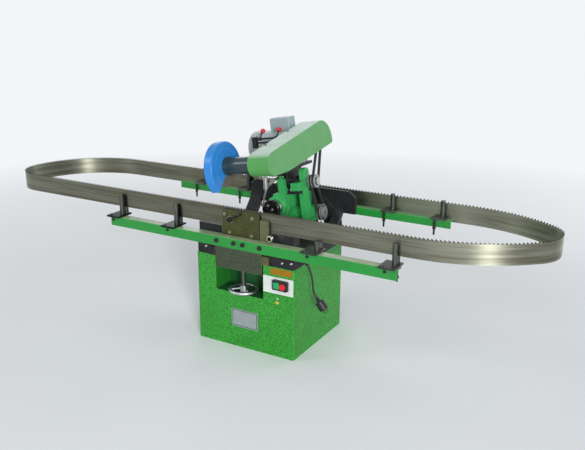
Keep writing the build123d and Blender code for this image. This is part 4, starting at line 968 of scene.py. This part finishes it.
def make_earth_point():
    """Earth screw with its small yellow tag below."""
    shape = bmesh.new()
    hex_bolt(shape, on_cabinet(*EARTH_SCREW), EARTH_FLATS, EARTH_HEIGHT)
    dress(solid("earth_screw", shape), "base", "steel")
    shape = bmesh.new()
    add_prism(shape, rounded(*TAG_SIZE, TAG_CORNER), 0.0, TAG_THICK, on_cabinet(*EARTH_TAG), TAG_CHAMFER)
    finish = painted("tag_yellow", (0.55, 0.42, 0.05), gloss=0.45, pebble=0.05, pebble_size=0.003, wear=0.2)
    dress(solid("earth_tag", shape), "base", "olive", finish)


make_bed_bolts()
make_cover_screws()
make_strip()
make_earth_point()

# Cord from the gland to the plug, on the route of the CAD tube
CORD_Y = -0.16
CORD_ROUTE = [(0.302, 0.469), (0.321, 0.430), (0.331, 0.376), (0.333, 0.336), (0.351, 0.314)]
CORD_RADIUS = 0.0045
CORD_ROUNDNESS = 6
CORD_STEPS = 16


def make_cord():
    """Smooth cord whose control points are the route's."""
    line = bpy.data.curves.new("mains_cord", "CURVE")
    line.dimensions = "3D"
    line.bevel_depth = CORD_RADIUS
    line.bevel_resolution = CORD_ROUNDNESS
    line.use_fill_caps = True
    line.resolution_u = CORD_STEPS
    spline = line.splines.new("NURBS")
    spline.points.add(len(CORD_ROUTE) - 1)
    for point, (x, z) in zip(spline.points, CORD_ROUTE):
        point.co = (x, CORD_Y, z, 1)
    spline.order_u = 3
    spline.use_endpoint_u = True
    piece = bpy.data.objects.new("mains_cord", line)
    bpy.context.scene.collection.objects.link(piece)
    dress(piece, "base", "cord_rubber")
    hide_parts("cord")


make_cord()


# Floor, light and camera

FLOOR_SIZE = 60.0
FLOOR_COLOUR = (0.78, 0.8, 0.82)
FLOOR_CLOUDS = 2.0
FLOOR_ROUGHNESS = 0.8
FLOOR_FADE = (1.6, 5.0)
BACKDROP = (0.9, 0.92, 0.94)
SKY_COLOUR = (0.92, 0.96, 1.0)
SKY_LIGHT = 0.33


def make_floor():
    """Pale floor that keeps the machine's shadow and fades into the backdrop."""
    shape = bmesh.new()
    bmesh.ops.create_grid(shape, x_segments=1, y_segments=1, size=FLOOR_SIZE / 2)
    floor = solid("floor", shape)
    material, tree, surface = shader("floor")
    tone = mottled(tree, noise(tree, place(tree), FLOOR_CLOUDS), FLOOR_COLOUR, dark=0.985, light=1.0)
    tree.links.new(tone, surface.inputs["Base Color"])
    surface.inputs["Roughness"].default_value = FLOOR_ROUGHNESS
    glow = tree.nodes.new("ShaderNodeEmission")
    glow.inputs["Color"].default_value = (*BACKDROP, 1)
    far = mask(tree, vectors(tree, "LENGTH", place(tree))["Value"], *FLOOR_FADE)
    blend = tree.nodes.new("ShaderNodeMixShader")
    tree.links.new(combine(tree, "MULTIPLY", far, seen(tree)), blend.inputs["Fac"])
    tree.links.new(surface.outputs["BSDF"], blend.inputs[1])
    tree.links.new(glow.outputs["Emission"], blend.inputs[2])
    tree.links.new(blend.outputs["Shader"], tree.nodes["Material Output"].inputs["Surface"])
    floor.data.materials.append(material)


def make_world():
    """Soft light from all round, with the pale backdrop where it is looked at."""
    world = bpy.data.worlds.new("studio")
    world.use_nodes = True
    tree = world.node_tree
    soft = tree.nodes["Background"]
    soft.inputs["Color"].default_value = (*SKY_COLOUR, 1)
    soft.inputs["Strength"].default_value = SKY_LIGHT
    pale = tree.nodes.new("ShaderNodeBackground")
    pale.inputs["Color"].default_value = (*BACKDROP, 1)
    blend = tree.nodes.new("ShaderNodeMixShader")
    tree.links.new(seen(tree), blend.inputs["Fac"])
    tree.links.new(soft.outputs["Background"], blend.inputs[1])
    tree.links.new(pale.outputs["Background"], blend.inputs[2])
    tree.links.new(blend.outputs["Shader"], tree.nodes["World Output"].inputs["Surface"])
    bpy.context.scene.world = world


def make_lamp(name, spot, wide, tall, power, aim=(0.0, 0.0, 0.6)):
    """Soft light, itself out of sight, aimed at a place on the machine."""
    lamp = bpy.data.lights.new(name, "AREA")
    lamp.shape = "RECTANGLE"
    lamp.size = wide
    lamp.size_y = tall
    lamp.energy = power
    holder = bpy.data.objects.new(name, lamp)
    holder.location = spot
    holder.rotation_mode = "QUATERNION"
    holder.rotation_quaternion = (Vector(aim) - Vector(spot)).to_track_quat("-Z", "Y")
    holder.visible_camera = False
    bpy.context.scene.collection.objects.link(holder)


make_floor()
make_world()
make_lamp("key", spot=(11.0, -12.0, 4.4), wide=2.4, tall=4.0, power=2170.0)
make_lamp("front", spot=(1.6, -3.9, 2.4), wide=2.4, tall=1.6, power=32.0)
make_lamp("left", spot=(-3.05, -3.0, 3.0), wide=1.2, tall=1.0, power=30.0)
make_lamp("top", spot=(0.0, 0.2, 4.6), wide=2.5, tall=2.5, power=30.0)
make_lamp("back", spot=(-2.4, 3.4, 2.7), wide=2.0, tall=2.0, power=24.0, aim=(0.1, 0.1, 1.0))
make_lamp("rear", spot=(2.6, 4.2, 2.2), wide=2.0, tall=2.0, power=34.0)

# Camera that matches the photograph
VIEW_TURN = math.radians(29.64)
VIEW_RISE = math.radians(16.97)
VIEW_ROLL = math.radians(0.32)
VIEW_TARGET = Vector((0.12555, 0.0, 0.5981))
VIEW_DISTANCE = 3.60595
FOCAL_PIXELS = 721.96
IMAGE_WIDTH = 585.0
SENSOR_WIDTH = 36.0
FAR_CLIP = 100.0


def make_camera():
    """Camera turned round the machine, raised and slightly rolled."""
    data = bpy.data.cameras.new("camera")
    data.sensor_width = SENSOR_WIDTH
    data.lens = FOCAL_PIXELS * SENSOR_WIDTH / IMAGE_WIDTH
    data.clip_end = FAR_CLIP
    level = Vector((math.cos(VIEW_TURN), math.sin(VIEW_TURN), 0))
    back = Vector((math.sin(VIEW_TURN) * math.cos(VIEW_RISE), -math.cos(VIEW_TURN) * math.cos(VIEW_RISE),
                   math.sin(VIEW_RISE)))
    rise = back.cross(level)
    right = level * math.cos(VIEW_ROLL) + rise * math.sin(VIEW_ROLL)
    up = rise * math.cos(VIEW_ROLL) - level * math.sin(VIEW_ROLL)
    turn = Matrix((right, up, back)).transposed().to_4x4()
    camera = bpy.data.objects.new("camera", data)
    camera.matrix_world = Matrix.Translation(VIEW_TARGET + back * VIEW_DISTANCE) @ turn
    bpy.context.scene.collection.objects.link(camera)
    bpy.context.scene.camera = camera


make_camera()
bpy.context.scene.view_settings.view_transform = "Standard"
